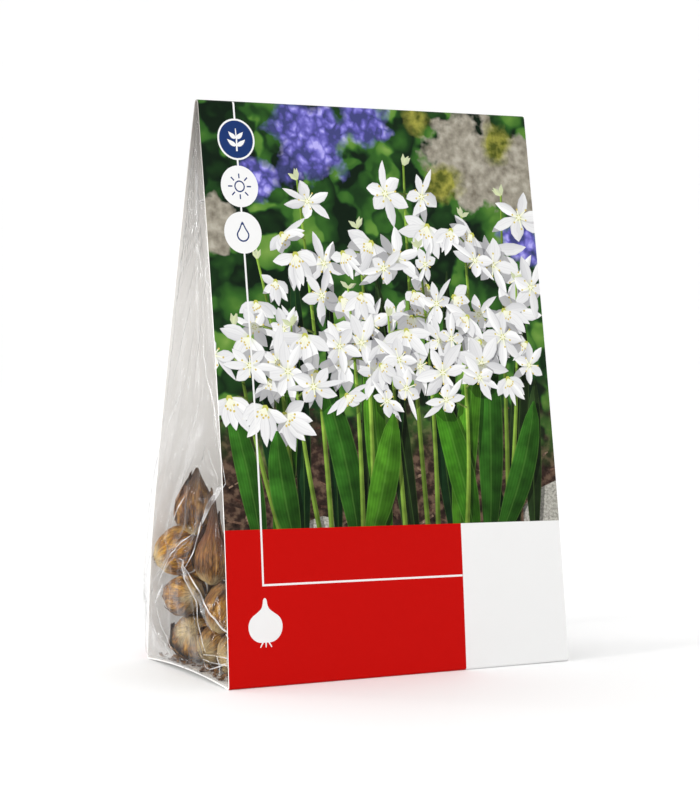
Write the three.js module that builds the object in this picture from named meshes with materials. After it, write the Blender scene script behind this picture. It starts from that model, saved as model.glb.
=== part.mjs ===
// A tent-shaped retail pack of small flower bulbs: a card sleeve, folded over at the top, round a bag of
// clear film, with twelve loose squill bulbs heaped in the bag's left end.
// Millimetres, +Z up. X runs along the top fold, and the front of the card faces -Y.
// Origin: the middle of the base, on the ground.
import * as THREE from "three";

// Card sleeve
const packWidth = 165; // along X, at the base
const ridgeWidth = 160.6; // along X, at the top fold
const packDepth = 83; // front fold of the base to its back fold
const packHeight = 240.2; // ground to the top of the fold
const cardThickness = 0.6;
const ridgeRadius = 1.6; // outside of the top fold
const baseFoldRadius = 1.1; // outside of the two base folds
const frontBow = { left: 4.3, right: 1.8, height: 0.4 }; // outward bulge, and where it peaks
const backBow = { left: 6.5, right: 3, height: 0.3 };
const endLift = 2; // how far the base's two end edges arch off the ground
const flatShare = 0.5; // the middle share of the base that lies flat
const liftFade = 12; // the arch dies out this far up the walls
const cardFacets = { wall: 14, base: 6, ridge: 8, fold: 4 }; // round the card's section
const cardStations = [0.17, 0.5, 0.68, 0.82, 0.93, 1]; // shares of its half width, each way

// Film bag
const filmThickness = 0.5;
const seatGap = 0.3; // film to card
const filmTop = 227; // the bag's mouth, under the fold
const filmCorner = 4; // upright corners of the bag
const filmInset = 0.3; // bag's ends, inside the card's where they don't swell
const filmBulge = 5.6; // the bag's ends swell this much at bulb height
const heapEdgeShare = 0.75; // share of it at the heap's rear corner, which stands past the card
const bulgeHeight = 45;
const bulgeSpread = 55;
const filmFoot = 3; // rounding where the bag's walls meet its floor
const filmFacets = { across: 14, deep: 8, corner: 4, foot: 3 }; // round each level of the bag
const filmLevels = [6, 12, 20, 30, 42, 55, 70, 88, 108, 130, 155, 180, 205, filmTop];
const floorShares = [0.25, 0.5, 0.75]; // loops across the bag's floor
const cornerRoom = 0.45; // share of the bag's depth that a corner may take up

// Bulbs
const bulbSides = 18;
const ballCount = 14;
const lowestBall = -0.5; // the height of a bulb's lowest ball, in radii from its widest place
const bulbGap = 0.35; // left between a bulb and what it lies on
const settleStep = 0.5; // sideways step while a bulb rolls to its pocket
const settleReach = 1.5; // the furthest that a bulb rolls from where it was put
const settleDrop = 0.02; // a roll that lowers the bulb by less than this isn't taken
const rollDirections = 8;
const dropHeight = 110; // bulbs are lowered from here
const restPrecision = 0.01; // how closely a bulb's resting height is found

const lerp = THREE.MathUtils.lerp;
const clamp = THREE.MathUtils.clamp;
const quarterTurn = Math.PI / 2;

const filmDepth = cardThickness + seatGap; // from the card's outside to the bag's
const bagDepth = filmDepth + filmThickness; // from the card's outside to the inside of the bag

// The wall is a straight line from the base's corner, tangent to the ridge's circle.
const ridgeCentre = packHeight - ridgeRadius;
const halfDepth = packDepth / 2;
const slope =
  Math.atan2(halfDepth, ridgeCentre) -
  Math.asin(ridgeRadius / Math.hypot(halfDepth, ridgeCentre)); // from upright
const sharpHeight = halfDepth / Math.tan(slope);

const halfWidthAt = (z) => lerp(packWidth, ridgeWidth, clamp(z / packHeight, 0, 1)) / 2;

// A hump from 0 to 1 that peaks at the given height along the wall.
function hump(s, peak) {
  const t = s < peak ? s / peak : (1 - s) / (1 - peak);
  return Math.sin((clamp(t, 0, 1) * Math.PI) / 2);
}

function bowAt(bow, x, z) {
  const u = clamp(x / packWidth + 0.5, 0, 1);
  return lerp(bow.left, bow.right, u) * hump(z / packHeight, bow.height);
}

// The lift of the base off the ground: none in the middle, an arch at each end.
function liftAt(x, y) {
  const u = clamp((Math.abs(x) / (packWidth / 2) - flatShare) / (1 - flatShare), 0, 1);
  const v = clamp(Math.abs(y) / halfDepth, 0, 1);
  return endLift * u * u * (1 - v * v);
}

// Y of the wall's outside at (x, z); side is -1 for the front, 1 for the back.
function wallAt(side, x, z, inset = 0) {
  const bow = side < 0 ? frontBow : backBow;
  const straight = (sharpHeight - z) * Math.tan(slope);
  return side * (straight + (bowAt(bow, x, z) - inset) / Math.cos(slope));
}

// A closed mesh from rows of points. Each row is a ring, and rows join their neighbours.
// closed joins the last row to the first; otherwise each end row closes on its middle point.
function meshFromRings(rings, closed) {
  const sides = rings[0].length;
  const positions = rings.flat().flatMap((p) => [p.x, p.y, p.z]);
  const faces = [];
  const at = (ring, i) => (ring % rings.length) * sides + (i % sides);
  const last = closed ? rings.length : rings.length - 1;
  for (let ring = 0; ring < last; ring++) {
    for (let i = 0; i < sides; i++) {
      const [a, b, c, d] = [at(ring, i), at(ring, i + 1), at(ring + 1, i + 1), at(ring + 1, i)];
      faces.push(a, b, c, a, c, d);
    }
  }
  if (!closed) {
    for (const ring of [0, rings.length - 1]) {
      const middle = rings[ring].reduce((sum, p) => sum.add(p), new THREE.Vector3());
      middle.divideScalar(sides);
      const tip = positions.length / 3;
      positions.push(middle.x, middle.y, middle.z);
      for (let i = 0; i < sides; i++) {
        if (ring === 0) faces.push(tip, at(ring, i + 1), at(ring, i));
        else faces.push(tip, at(ring, i), at(ring, i + 1));
      }
    }
  }
  const geometry = new THREE.BufferGeometry();
  geometry.setAttribute("position", new THREE.Float32BufferAttribute(positions, 3));
  geometry.setIndex(faces);
  geometry.computeVertexNormals();
  return geometry;
}

// The card's section: a triangle with round corners, as points with their outward normals.
function cardSection() {
  const points = [];
  const arc = (y, z, radius, from, to, steps) => {
    for (let i = 0; i <= steps; i++) {
      const angle = lerp(from, to, i / steps);
      const [ny, nz] = [Math.cos(angle), Math.sin(angle)];
      points.push({ y: y + radius * ny, z: z + radius * nz, ny, nz });
    }
  };
  const straight = (steps) => points.push({ steps });
  // Centre of a base fold's arc, tangent to the ground and to the wall.
  const foldZ = baseFoldRadius;
  const foldY = (sharpHeight - foldZ) * Math.tan(slope) - baseFoldRadius / Math.cos(slope);
  arc(-foldY, foldZ, baseFoldRadius, -quarterTurn, -Math.PI - slope, cardFacets.fold);
  straight(cardFacets.wall);
  arc(0, ridgeCentre, ridgeRadius, Math.PI - slope, slope, cardFacets.ridge);
  straight(cardFacets.wall);
  arc(foldY, foldZ, baseFoldRadius, slope, -quarterTurn, cardFacets.fold);
  straight(cardFacets.base);
  // Each straight stretch is cut into equal steps between the arcs on its two sides.
  return points.flatMap((p, i) => {
    if (!p.steps) return [p];
    const [a, b] = [points[i - 1], points[(i + 1) % points.length]];
    return Array.from({ length: p.steps - 1 }, (_, k) => {
      const t = (k + 1) / p.steps;
      return { y: lerp(a.y, b.y, t), z: lerp(a.z, b.z, t), ny: a.ny, nz: a.nz };
    });
  });
}

function cardPoint(p, u, inset) {
  const x = u * halfWidthAt(p.z);
  const bow = bowAt(p.ny < 0 ? frontBow : backBow, x, p.z) / Math.cos(slope) ** 2;
  const lift = liftAt(x, p.y) * clamp(1 - p.z / liftFade, 0, 1);
  return new THREE.Vector3(x, p.y + p.ny * (bow - inset), p.z - p.nz * inset + lift);
}

function cardSleeve() {
  const section = cardSection();
  const stations = [...cardStations.map((u) => -u).reverse(), ...cardStations];
  const skin = (inset) => stations.map((u) => section.map((p) => cardPoint(p, u, inset)));
  return meshFromRings([...skin(0).reverse(), ...skin(cardThickness)], true);
}

// How far the bag reaches along X at height z, towards an end: -1 is the heap's, on the left. v is -1
// at the front and 1 at the back, and extra is the inset.
function reachAt(end, z, v, extra) {
  const bulge = filmBulge * Math.exp(-(((z - bulgeHeight) / bulgeSpread) ** 2));
  const edgeShare = end < 0 && v > 0 ? heapEdgeShare : 0;
  return halfWidthAt(z) - filmInset - extra + bulge * (1 - (1 - edgeShare) * v ** 4);
}

// One level of the bag: a round-cornered loop at height z, inset from the outside of the card.
function filmLoop(z, inset, shrink = 1) {
  const { across, deep, corner } = filmFacets;
  const loop = [];
  const extra = inset - filmDepth;
  const endX = (end, v) => end * reachAt(end, z, v, extra);
  const wall = (side, x) => wallAt(side, x, z, inset);
  const room = wall(1, 0) - wall(-1, 0);
  const radius = Math.min(filmCorner - extra, room * cornerRoom);
  const place = (x, y) => loop.push(new THREE.Vector3(x * shrink, y * shrink, z));
  for (const end of [1, -1]) {
    // One end of the bag, then the long wall that leads to the other end.
    const [first, second] = [-end, end];
    const corners = [first, second].map((side) => wall(side, endX(end, side) - end * radius));
    for (let i = 0; i <= corner; i++) {
      const angle = (i / corner) * quarterTurn;
      const x = endX(end, first) - end * radius * (1 - Math.sin(angle));
      place(x, corners[0] - first * radius * (1 - Math.cos(angle)));
    }
    const [from, to] = [corners[0] - first * radius, corners[1] - second * radius];
    for (let i = 1; i < deep; i++) {
      place(endX(end, lerp(first, second, i / deep)), lerp(from, to, i / deep));
    }
    for (let i = 0; i <= corner; i++) {
      const angle = (i / corner) * quarterTurn;
      const x = endX(end, second) - end * radius * (1 - Math.cos(angle));
      place(x, corners[1] - second * radius * (1 - Math.sin(angle)));
    }
    const [start, stop] = [endX(end, second) - end * radius, endX(-end, second) + end * radius];
    for (let i = 1; i < across; i++) {
      const x = lerp(start, stop, i / across);
      place(x, wall(second, x));
    }
  }
  return loop;
}

// One side of the film, inset from the outside of the card and with its floor at the same depth.
function filmSkin(inset) {
  const foot = filmFoot - (inset - filmDepth);
  // The floor, from its middle outwards, then the rounding up into the walls.
  const rings = floorShares.map((shrink) => filmLoop(inset, inset, shrink));
  for (let i = 0; i <= filmFacets.foot; i++) {
    const angle = (i / filmFacets.foot) * quarterTurn;
    const pull = foot * (1 - Math.sin(angle));
    rings.push(filmLoop(inset + foot * (1 - Math.cos(angle)), inset + pull));
  }
  rings.push(...filmLevels.map((z) => filmLoop(z, inset)));
  for (const ring of rings) {
    for (const p of ring) p.z += liftAt(p.x, p.y) * clamp(1 - p.z / liftFade, 0, 1);
  }
  return rings;
}

function filmBag() {
  return meshFromRings([...filmSkin(filmDepth), ...filmSkin(bagDepth).reverse()], false);
}

// Each bulb is lowered at (x, y) with its tip along aim. tall stretches its body, and beak is the
// length of its neck. They are listed in the order in which the heap is built up.
const bulbs = [
  { x: -72, y: 19, radius: 9.8, tall: 1.05, beak: 5, aim: [0.45, 0.7, -0.4] },
  { x: -70, y: -1, radius: 9.2, tall: 1.05, beak: 6, aim: [0.9, 0.3, 0.3] },
  { x: -70, y: -22, radius: 9.4, tall: 1.05, beak: 6, aim: [0.95, -0.1, 0.2] },
  { x: -46, y: 13, radius: 9.4, tall: 1.1, beak: 8, aim: [0.9, 0.3, 0.15] },
  { x: -48, y: -12, radius: 9, tall: 1.1, beak: 7, aim: [0.8, -0.5, 0.2] },
  { x: -63.5, y: 3, radius: 8.8, tall: 1.05, beak: 6, aim: [0.9, 0.2, 0.2] },
  { x: -74, y: 18, radius: 8.7, tall: 1.1, beak: 5, aim: [-0.22, 0.97, -0.15] },
  { x: -70, y: -14, radius: 8.8, tall: 1.2, beak: 4, aim: [0.5, -0.1, 1] },
  { x: -69, y: -28, radius: 8.2, tall: 1.1, beak: 6, aim: [0.8, 0, 0.7] },
  { x: -76, y: 24.5, radius: 10.5, tall: 1.1, beak: 6, aim: [0.85, -0.3, 0.35] },
  { x: -67, y: 5, radius: 8, tall: 1.3, beak: 17, aim: [-0.02, -0.06, 1] },
  { x: -72.5, y: 17, radius: 8, tall: 1.35, beak: 6, aim: [0.02, -0.06, 1] },
];

// The bulb's outline from its basal plate to its tip, as [radius, height] from its widest place.
function bulbOutline({ radius, tall, beak }) {
  const body = [
    [0.24, -0.96], [0.31, -0.9], [0.62, -0.76], [0.86, -0.48], [0.98, -0.16],
    [1, 0.08], [0.94, 0.36], [0.79, 0.66], [0.6, 0.93], [0.43, 1.16],
  ];
  const neck = [[0.3, 0.25], [0.18, 0.6], [0.07, 0.95]];
  const [, shoulder] = body[body.length - 1];
  return [
    ...body.map(([r, h]) => [r * radius, h * tall * radius]),
    ...neck.map(([r, h]) => [r * radius, shoulder * tall * radius + h * beak]),
  ];
}

function bulbGeometry(bulb) {
  const rings = bulbOutline(bulb).map(([r, h]) =>
    Array.from({ length: bulbSides }, (_, i) => {
      const angle = (i / bulbSides) * 2 * Math.PI;
      return new THREE.Vector3(r * Math.cos(angle), r * Math.sin(angle), h);
    }),
  );
  return meshFromRings(rings, false);
}

// Balls that fill a bulb, as [height along its axis, radius], used to seat it.
function bulbBalls(bulb) {
  const outline = bulbOutline(bulb);
  const lowest = lowestBall * bulb.radius;
  const highest = outline[outline.length - 1][1];
  return Array.from({ length: ballCount }, (_, i) => {
    const along = lerp(lowest, highest, i / ballCount);
    return [along, Math.min(...outline.map(([r, h]) => Math.hypot(r, h - along)))];
  });
}

// The least gap between a ball and the walls of the bag.
function wallClearance(ball, radius) {
  const gaps = [-1, 1].map((side) => {
    const wall = wallAt(side, ball.x, ball.z, bagDepth);
    return side * (wall - ball.y) * Math.cos(slope) - radius;
  });
  const wall = Math.abs(wallAt(Math.sign(ball.y) || 1, ball.x, ball.z, bagDepth));
  const v = clamp(ball.y / (wall - filmCorner), -1, 1);
  const reach = reachAt(Math.sign(ball.x), ball.z, v, filmThickness);
  return Math.min(...gaps, reach - Math.abs(ball.x) - radius);
}

// The balls of a bulb whose middle is at place, as [middle, radius].
function ballsAt(bulb, place) {
  return bulbBalls(bulb).map(([along, radius]) => [
    place.clone().addScaledVector(bulb.axis, along),
    radius,
  ]);
}

function inWalls(bulb, place) {
  return ballsAt(bulb, place).every(([ball, radius]) => wallClearance(ball, radius) >= bulbGap);
}

// True if a bulb at place is clear of the bag's floor and of the bulbs already in it.
function isClear(bulb, place, placed) {
  return ballsAt(bulb, place).every(([ball, radius]) => {
    const floor = bagDepth + liftAt(ball.x, ball.y);
    if (ball.z - floor - radius < bulbGap) return false;
    return placed.every((other) =>
      other.balls.every(([b, r]) => ball.distanceTo(b) - radius - r >= bulbGap),
    );
  });
}

// Lowers a bulb at (x, y) until it meets what is below it. Returns its resting place, or nothing
// if the bag is too narrow there.
function lower(bulb, x, y, placed) {
  const place = new THREE.Vector3(x, y, 0);
  const fits = (z) => inWalls(bulb, place.setZ(z)) && isClear(bulb, place, placed);
  let high = dropHeight;
  while (high > 0 && !fits(high)) high -= 1;
  if (high <= 0) return undefined;
  let low = high - 1;
  while (fits(low)) low -= 1;
  high = low + 1;
  while (high - low > restPrecision) {
    const z = (high + low) / 2;
    if (fits(z)) high = z;
    else low = z;
  }
  return place.setZ(high).clone();
}

// Lets a bulb roll sideways, in small steps, to the lowest place within its reach.
function settle(bulb, placed) {
  bulb.axis = new THREE.Vector3(...bulb.aim).normalize();
  bulb.place = lower(bulb, bulb.x, bulb.y, placed);
  // Where the bag is too narrow it starts a little further in.
  while (!bulb.place && bulb.x < 0) {
    bulb.x += settleStep;
    bulb.place = lower(bulb, bulb.x, bulb.y, placed);
  }
  for (let moved = true; moved; ) {
    moved = false;
    for (let turn = 0; turn < rollDirections && !moved; turn++) {
      const angle = (turn / rollDirections) * 2 * Math.PI;
      const x = bulb.place.x + settleStep * Math.cos(angle);
      const y = bulb.place.y + settleStep * Math.sin(angle);
      if (Math.hypot(x - bulb.x, y - bulb.y) > settleReach) continue;
      const next = lower(bulb, x, y, placed);
      if (next && next.z < bulb.place.z - settleDrop) {
        bulb.place = next;
        moved = true;
      }
    }
  }
  bulb.balls = ballsAt(bulb, bulb.place);
}

const cardMaterial = new THREE.MeshStandardMaterial({ color: 0xe9e6df, roughness: 0.45 });
const filmMaterial = new THREE.MeshStandardMaterial({
  color: 0xe6e8ea,
  roughness: 0.1,
  transparent: true,
  opacity: 0.35,
});
const bulbColour = 0x8a6234;

function named(name, geometry, material) {
  const mesh = new THREE.Mesh(geometry, material);
  mesh.name = name;
  return mesh;
}

const pack = new THREE.Group();
pack.add(named("card_sleeve", cardSleeve(), cardMaterial));
pack.add(named("film_bag", filmBag(), filmMaterial));

const up = new THREE.Vector3(0, 0, 1);
const placed = [];
bulbs.forEach((bulb, i) => {
  settle(bulb, placed);
  placed.push(bulb);
  const material = new THREE.MeshStandardMaterial({ color: bulbColour, roughness: 0.6 });
  const mesh = named(`bulb_${String(i + 1).padStart(2, "0")}`, bulbGeometry(bulb), material);
  mesh.quaternion.setFromUnitVectors(up, bulb.axis);
  mesh.position.copy(bulb.place);
  pack.add(mesh);
});

export default pack;
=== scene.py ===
import math
import random

import bmesh
import bpy
import numpy as np
from mathutils import Matrix, Vector, noise
from mathutils.bvhtree import BVHTree
from mathutils.geometry import delaunay_2d_cdt


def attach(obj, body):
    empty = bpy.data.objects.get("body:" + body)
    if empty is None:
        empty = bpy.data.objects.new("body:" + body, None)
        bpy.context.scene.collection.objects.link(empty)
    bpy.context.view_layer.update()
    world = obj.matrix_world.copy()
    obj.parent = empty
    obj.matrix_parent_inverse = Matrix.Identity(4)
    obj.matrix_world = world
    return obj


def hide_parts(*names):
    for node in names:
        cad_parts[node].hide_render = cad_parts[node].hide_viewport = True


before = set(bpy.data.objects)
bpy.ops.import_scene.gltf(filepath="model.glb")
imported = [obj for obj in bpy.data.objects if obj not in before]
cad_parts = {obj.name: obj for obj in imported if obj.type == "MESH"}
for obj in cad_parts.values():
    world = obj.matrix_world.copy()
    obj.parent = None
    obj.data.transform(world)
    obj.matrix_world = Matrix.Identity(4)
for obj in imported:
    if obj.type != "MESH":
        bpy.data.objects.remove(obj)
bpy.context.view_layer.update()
mm = 0.001
joinWithin = 1e-6  # metres: mesh points as near as this are one

cameraSetup = {
    "place": (-0.4707, -0.8514, 0.1697),
    "yaw": 28.63,  # degrees round Z, from +Y towards +X
    "pitch": -3.28,
    "roll": 0.72,
    "lens": 100.8,
    "clip": (0.05, 50),
}


def addCamera(setup):
    data = bpy.data.cameras.new("packCamera")
    data.lens = setup["lens"]
    data.clip_start, data.clip_end = setup["clip"]
    camera = bpy.data.objects.new("packCamera", data)
    bpy.context.collection.objects.link(camera)
    yaw, pitch, roll = (math.radians(setup[k]) for k in ("yaw", "pitch", "roll"))
    level = math.cos(pitch)
    forward = Vector((math.sin(yaw) * level, math.cos(yaw) * level, math.sin(pitch)))
    right = Vector((math.cos(yaw), -math.sin(yaw), 0))
    up = right.cross(forward)
    turnedRight = right * math.cos(roll) + up * math.sin(roll)
    turnedUp = up * math.cos(roll) - right * math.sin(roll)
    turn = Matrix((turnedRight, turnedUp, -forward)).transposed()
    camera.matrix_world = Matrix.Translation(setup["place"]) @ turn.to_4x4()
    bpy.context.scene.camera = camera


studio = {
    "world": 0.88,  # how strong the white light from all round is
    "aim": (0, 0, 0.1),  # where the lights point
    "clearBounces": 32,  # how many layers of clear film a ray can pass
    "lights": (
        # name, place, size, power, colour
        ("keySoftbox", (-0.55, -1.1, 1.15), (0.34, 0.34), 1.4, (1, 0.99, 0.975)),
        ("endFill", (-1.25, -0.75, 0.35), (0.5, 0.5), 2.9, (1, 1, 1)),
        ("leftStrip", (-1.2, -0.12, 0.5), (0.12, 0.8), 4.5, (1, 0.995, 0.985)),
        ("backStrip", (-1.15, 0.95, 0.35), (0.08, 0.9), 3, (1, 1, 1)),
        ("topSoftbox", (0.1, 0.35, 1.9), (2.2, 2.0), 3, (1, 1, 1)),
    ),
}


def addLights(setup):
    for name, place, size, power, colour in setup["lights"]:
        data = bpy.data.lights.new(name, "AREA")
        data.shape = "RECTANGLE"
        data.size, data.size_y = size
        data.energy = power
        data.color = colour
        light = bpy.data.objects.new(name, data)
        light.location = place
        aim = Vector(setup["aim"]) - Vector(place)
        light.rotation_euler = aim.to_track_quat("-Z", "Y").to_euler()
        bpy.context.collection.objects.link(light)


def addWorld(strength):
    world = bpy.data.worlds.new("studio")
    world.use_nodes = True
    background = world.node_tree.nodes["Background"].inputs
    background["Color"].default_value = (1, 1, 1, 1)
    background["Strength"].default_value = strength
    bpy.context.scene.world = world


def lerp(a, b, t):
    return a + (b - a) * t


def smoothed(values, rounds):
    # A row of values with each inner one drawn towards its neighbours, again and again.
    for _ in range(rounds):
        values[1:-1] = (values[:-2] + 2 * values[1:-1] + values[2:]) / 4
    return values


def randomPlace(rng, reach, axes=3):
    return Vector([rng.uniform(-reach, reach) for _ in range(axes)]).to_3d()


def noiseAt(offset, *place):
    return noise.noise(Vector(place) + offset)


def gridFaces(rows, columns, start=0, closed=False):
    # The four-sided faces between a grid's points, row by row. closed joins each row's ends.
    faces = []
    for j in range(rows - 1):
        low, high = start + j * columns, start + (j + 1) * columns
        for i in range(columns if closed else columns - 1):
            k = (i + 1) % columns
            faces.append((low + i, low + k, high + k, high + i))
    return faces


def makePiece(name, vertices, faces, materials=()):
    mesh = bpy.data.meshes.new(name)
    mesh.from_pydata(np.asarray(vertices, float).tolist(), [], faces)
    for material in materials:
        mesh.materials.append(material)
    mesh.update()
    mesh.shade_smooth()
    piece = bpy.data.objects.new(name, mesh)
    bpy.context.collection.objects.link(piece)
    return piece


def addWall(piece, name, thickness, offset=-1):
    wall = piece.modifiers.new(name, "SOLIDIFY")
    wall.thickness = thickness * mm
    wall.offset = offset


def setAttribute(mesh, name, kind, domain, values):
    field = {"FLOAT": "value", "FLOAT_VECTOR": "vector", "FLOAT_COLOR": "color"}[kind]
    made = mesh.attributes.new(name, kind, domain)
    made.data.foreach_set(field, np.asarray(values, np.float32).ravel())


def newMaterial(name):
    # An empty material's node maker, and what shows a shader in it and hands the material back.
    material = bpy.data.materials.new(name)
    material.use_nodes = True
    tree = material.node_tree
    tree.nodes.clear()
    output = tree.nodes.new("ShaderNodeOutputMaterial")

    def show(shader):
        tree.links.new(shader.outputs[0], output.inputs["Surface"])
        return material

    return nodeMaker(tree), show


def nodeMaker(tree):
    def add(kind, inputs=None, **settings):
        node = tree.nodes.new(kind)
        for key, value in settings.items():
            setattr(node, key, value)
        for key, value in (inputs or {}).items():
            if isinstance(value, bpy.types.NodeSocket):
                tree.links.new(value, node.inputs[key])
            else:
                node.inputs[key].default_value = value
        return node

    return add


def calc(add, operation, *values):
    return add("ShaderNodeMath", dict(enumerate(values)), operation=operation).outputs[0]


def times(add, a, b):
    return calc(add, "MULTIPLY", a, b)


def timesPlus(add, value, factor, more):
    return calc(add, "MULTIPLY_ADD", value, factor, more)


def vectorMath(add, operation, a, b):
    return add("ShaderNodeVectorMath", {0: a, 1: b}, operation=operation).outputs[0]


def wandering(add, colour, reach):
    # A noise's colour as a shift to every side.
    centred = vectorMath(add, "SUBTRACT", colour, (0.5, 0.5, 0.5))
    return add("ShaderNodeVectorMath", {0: centred, "Scale": reach}, operation="SCALE").outputs[0]


def parts(add, vector):
    return add("ShaderNodeSeparateXYZ", {0: vector}).outputs


def attribute(add, name, output="Fac"):
    return add("ShaderNodeAttribute", attribute_name=name).outputs[output]


def bumped(add, height, strength, distance):
    values = {"Height": height, "Strength": strength, "Distance": distance}
    return add("ShaderNodeBump", values).outputs["Normal"]


def mixColour(add, factor, a, b, blend="MIX"):
    values = {0: factor, 6: a, 7: b}
    return add("ShaderNodeMix", values, data_type="RGBA", blend_type=blend).outputs[2]


def shaded(add, colour, shade):
    grey = add("ShaderNodeCombineColor", {0: shade, 1: shade, 2: shade}).outputs[0]
    return mixColour(add, 1.0, colour, grey, "MULTIPLY")


def ramp(add, factor, stops):
    node = add("ShaderNodeValToRGB", {"Fac": factor})
    elements = node.color_ramp.elements
    while len(elements) < len(stops):
        elements.new(0.5)
    for element, (place, colour) in zip(elements, stops):
        element.position = place
        element.color = (*colour, 1)
    return node.outputs["Color"]


def mapRange(add, value, low, high, toLow=0.0, toHigh=1.0):
    names = {"Value": value, "From Min": low, "From Max": high, "To Min": toLow, "To Max": toHigh}
    return add("ShaderNodeMapRange", names).outputs["Result"]


def buildGrainGroup(roughness=0.62):
    # Fine fibres and specks, for the card, the papery skins and the film.
    group = bpy.data.node_groups.new("fibreGrain", "ShaderNodeTree")
    for name, kind in (("Place", "Vector"), ("Scale", "Float"), ("Detail", "Float")):
        group.interface.new_socket(name, in_out="INPUT", socket_type="NodeSocket" + kind)
    group.interface.new_socket("Mask", in_out="OUTPUT", socket_type="NodeSocketFloat")
    add = nodeMaker(group)
    given = add("NodeGroupInput").outputs
    result = add("NodeGroupOutput")
    values = {"Vector": given["Place"], "Scale": given["Scale"], "Detail": given["Detail"]}
    fibres = add("ShaderNodeTexNoise", {**values, "Roughness": roughness})
    group.links.new(fibres.outputs["Fac"], result.inputs["Mask"])
    return group


grainGroup = buildGrainGroup()


def grain(add, place, scale, detail):
    values = {"Place": place, "Scale": scale, "Detail": detail}
    return add("ShaderNodeGroup", values, node_tree=grainGroup).outputs["Mask"]


cardShape = {
    # lengths in millimetres
    "width": 165,
    "ridgeWidth": 160.6,
    "depth": 83,
    "height": 240.2,
    "thickness": 0.6,
    "ridgeRadius": 1.6,
    "foldRadius": 1.1,
    "frontBow": (4.3, 1.8, 0.4),  # outward at the left and the right, and how high it peaks, as a share
    "backBow": (6.5, 3, 0.3),
    "endLift": 2,  # how far the ends of the base rise off the table
    "flatShare": 0.5,  # the middle share of the base that lies flat
    "liftFade": 12,  # the height over which that lift fades out of the walls
}
halfWidth = cardShape["width"] / 2
halfDepth = cardShape["depth"] / 2
cardHeight = cardShape["height"]
foldRadius, ridgeRadius = cardShape["foldRadius"], cardShape["ridgeRadius"]
ridgeCentre = cardHeight - ridgeRadius
slope = math.atan2(halfDepth, ridgeCentre) - math.asin(ridgeRadius / math.hypot(halfDepth, ridgeCentre))
sharpHeight = halfDepth / math.tan(slope)  # where the walls would meet with a sharp fold


def halfWidthAt(z):
    return lerp(cardShape["width"], cardShape["ridgeWidth"], np.clip(z / cardHeight, 0, 1)) / 2


def hump(s, peak):
    t = np.where(s < peak, s / peak, (1 - s) / (1 - peak))
    return np.sin(np.clip(t, 0, 1) * math.pi / 2)


def bowAt(bow, x, z):
    left, right, peak = bow
    return lerp(left, right, np.clip(x / cardShape["width"] + 0.5, 0, 1)) * hump(z / cardHeight, peak)


def liftAt(x, y):
    flat = cardShape["flatShare"]
    u = np.clip((np.abs(x) / halfWidth - flat) / (1 - flat), 0, 1)
    v = np.clip(np.abs(y) / halfDepth, 0, 1)
    return cardShape["endLift"] * u * u * (1 - v * v)


def liftShareAt(z):
    return np.clip(1 - z / cardShape["liftFade"], 0, 1)


def wallAt(side, x, z, inset=0.0):
    bow = cardShape["frontBow"] if side < 0 else cardShape["backBow"]
    outward = (bowAt(bow, x, z) - inset) / math.cos(slope)
    return side * ((sharpHeight - z) * math.tan(slope) + outward)


# The card's section, unrolled: the distance along the net at each knot, with the centre, radius and
# direction of the arc or straight that starts there.
foldY = (sharpHeight - foldRadius) * math.tan(slope) - foldRadius / math.cos(slope)
wallRun = math.sqrt(foldY**2 + (ridgeCentre - foldRadius) ** 2 - (ridgeRadius - foldRadius) ** 2)
foldArc = foldRadius * (math.pi / 2 + slope)
ridgeArc = ridgeRadius * (math.pi - 2 * slope)
knotRuns = [0, foldY, foldArc, wallRun, ridgeArc, wallRun, foldArc, foldY]
knots = np.cumsum(knotRuns)
knotY = [0, -foldY, -foldY, 0, 0, foldY, foldY, 0]
knotZ = [foldRadius] * 3 + [ridgeCentre] * 2 + [foldRadius] * 3
knotRadius = [foldRadius] * 3 + [ridgeRadius] * 2 + [foldRadius] * 3
sectionTurns = (-math.pi / 2, -math.pi - slope, -2 * math.pi + slope, -2.5 * math.pi)
knotTurn = [turn for turn in sectionTurns for _ in range(2)]
netLength = knots[-1]
frontFoot = knots[1] + foldArc / 2
backFoot = knots[5] + foldArc / 2
panelHeight = knots[3] + ridgeArc / 2 - frontFoot


def foldNet(u, s, inset):
    # Points of the net, at u across and s along it, folded into the sleeve.
    angle = np.interp(s, knots, knotTurn)
    radius = np.interp(s, knots, knotRadius)
    ny, nz = np.cos(angle), np.sin(angle)
    y = np.interp(s, knots, knotY) + radius * ny
    z = np.interp(s, knots, knotZ) + radius * nz
    x = u / halfWidth * halfWidthAt(z)
    bow = np.where(ny < 0, bowAt(cardShape["frontBow"], x, z), bowAt(cardShape["backBow"], x, z))
    lift = liftAt(x, y) * liftShareAt(z)
    return np.stack([x, y + ny * (bow / math.cos(slope) ** 2 - inset), z - nz * inset + lift], 1)


def netNormals(places):
    # The outward direction at each point of the net, from its neighbours on the folded sleeve.
    step = 0.02
    u, s = places[:, 0], np.clip(places[:, 1], step, netLength - step)
    across = foldNet(u + step, s, 0) - foldNet(u - step, s, 0)
    along = foldNet(u, s + step, 0) - foldNet(u, s - step, 0)
    out = np.cross(across, along)
    return out / np.linalg.norm(out, axis=1)[:, None]


flatInk, petalInk, leafInk, gardenInk, softInk, stoneInk, chipInk = range(7)

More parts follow.
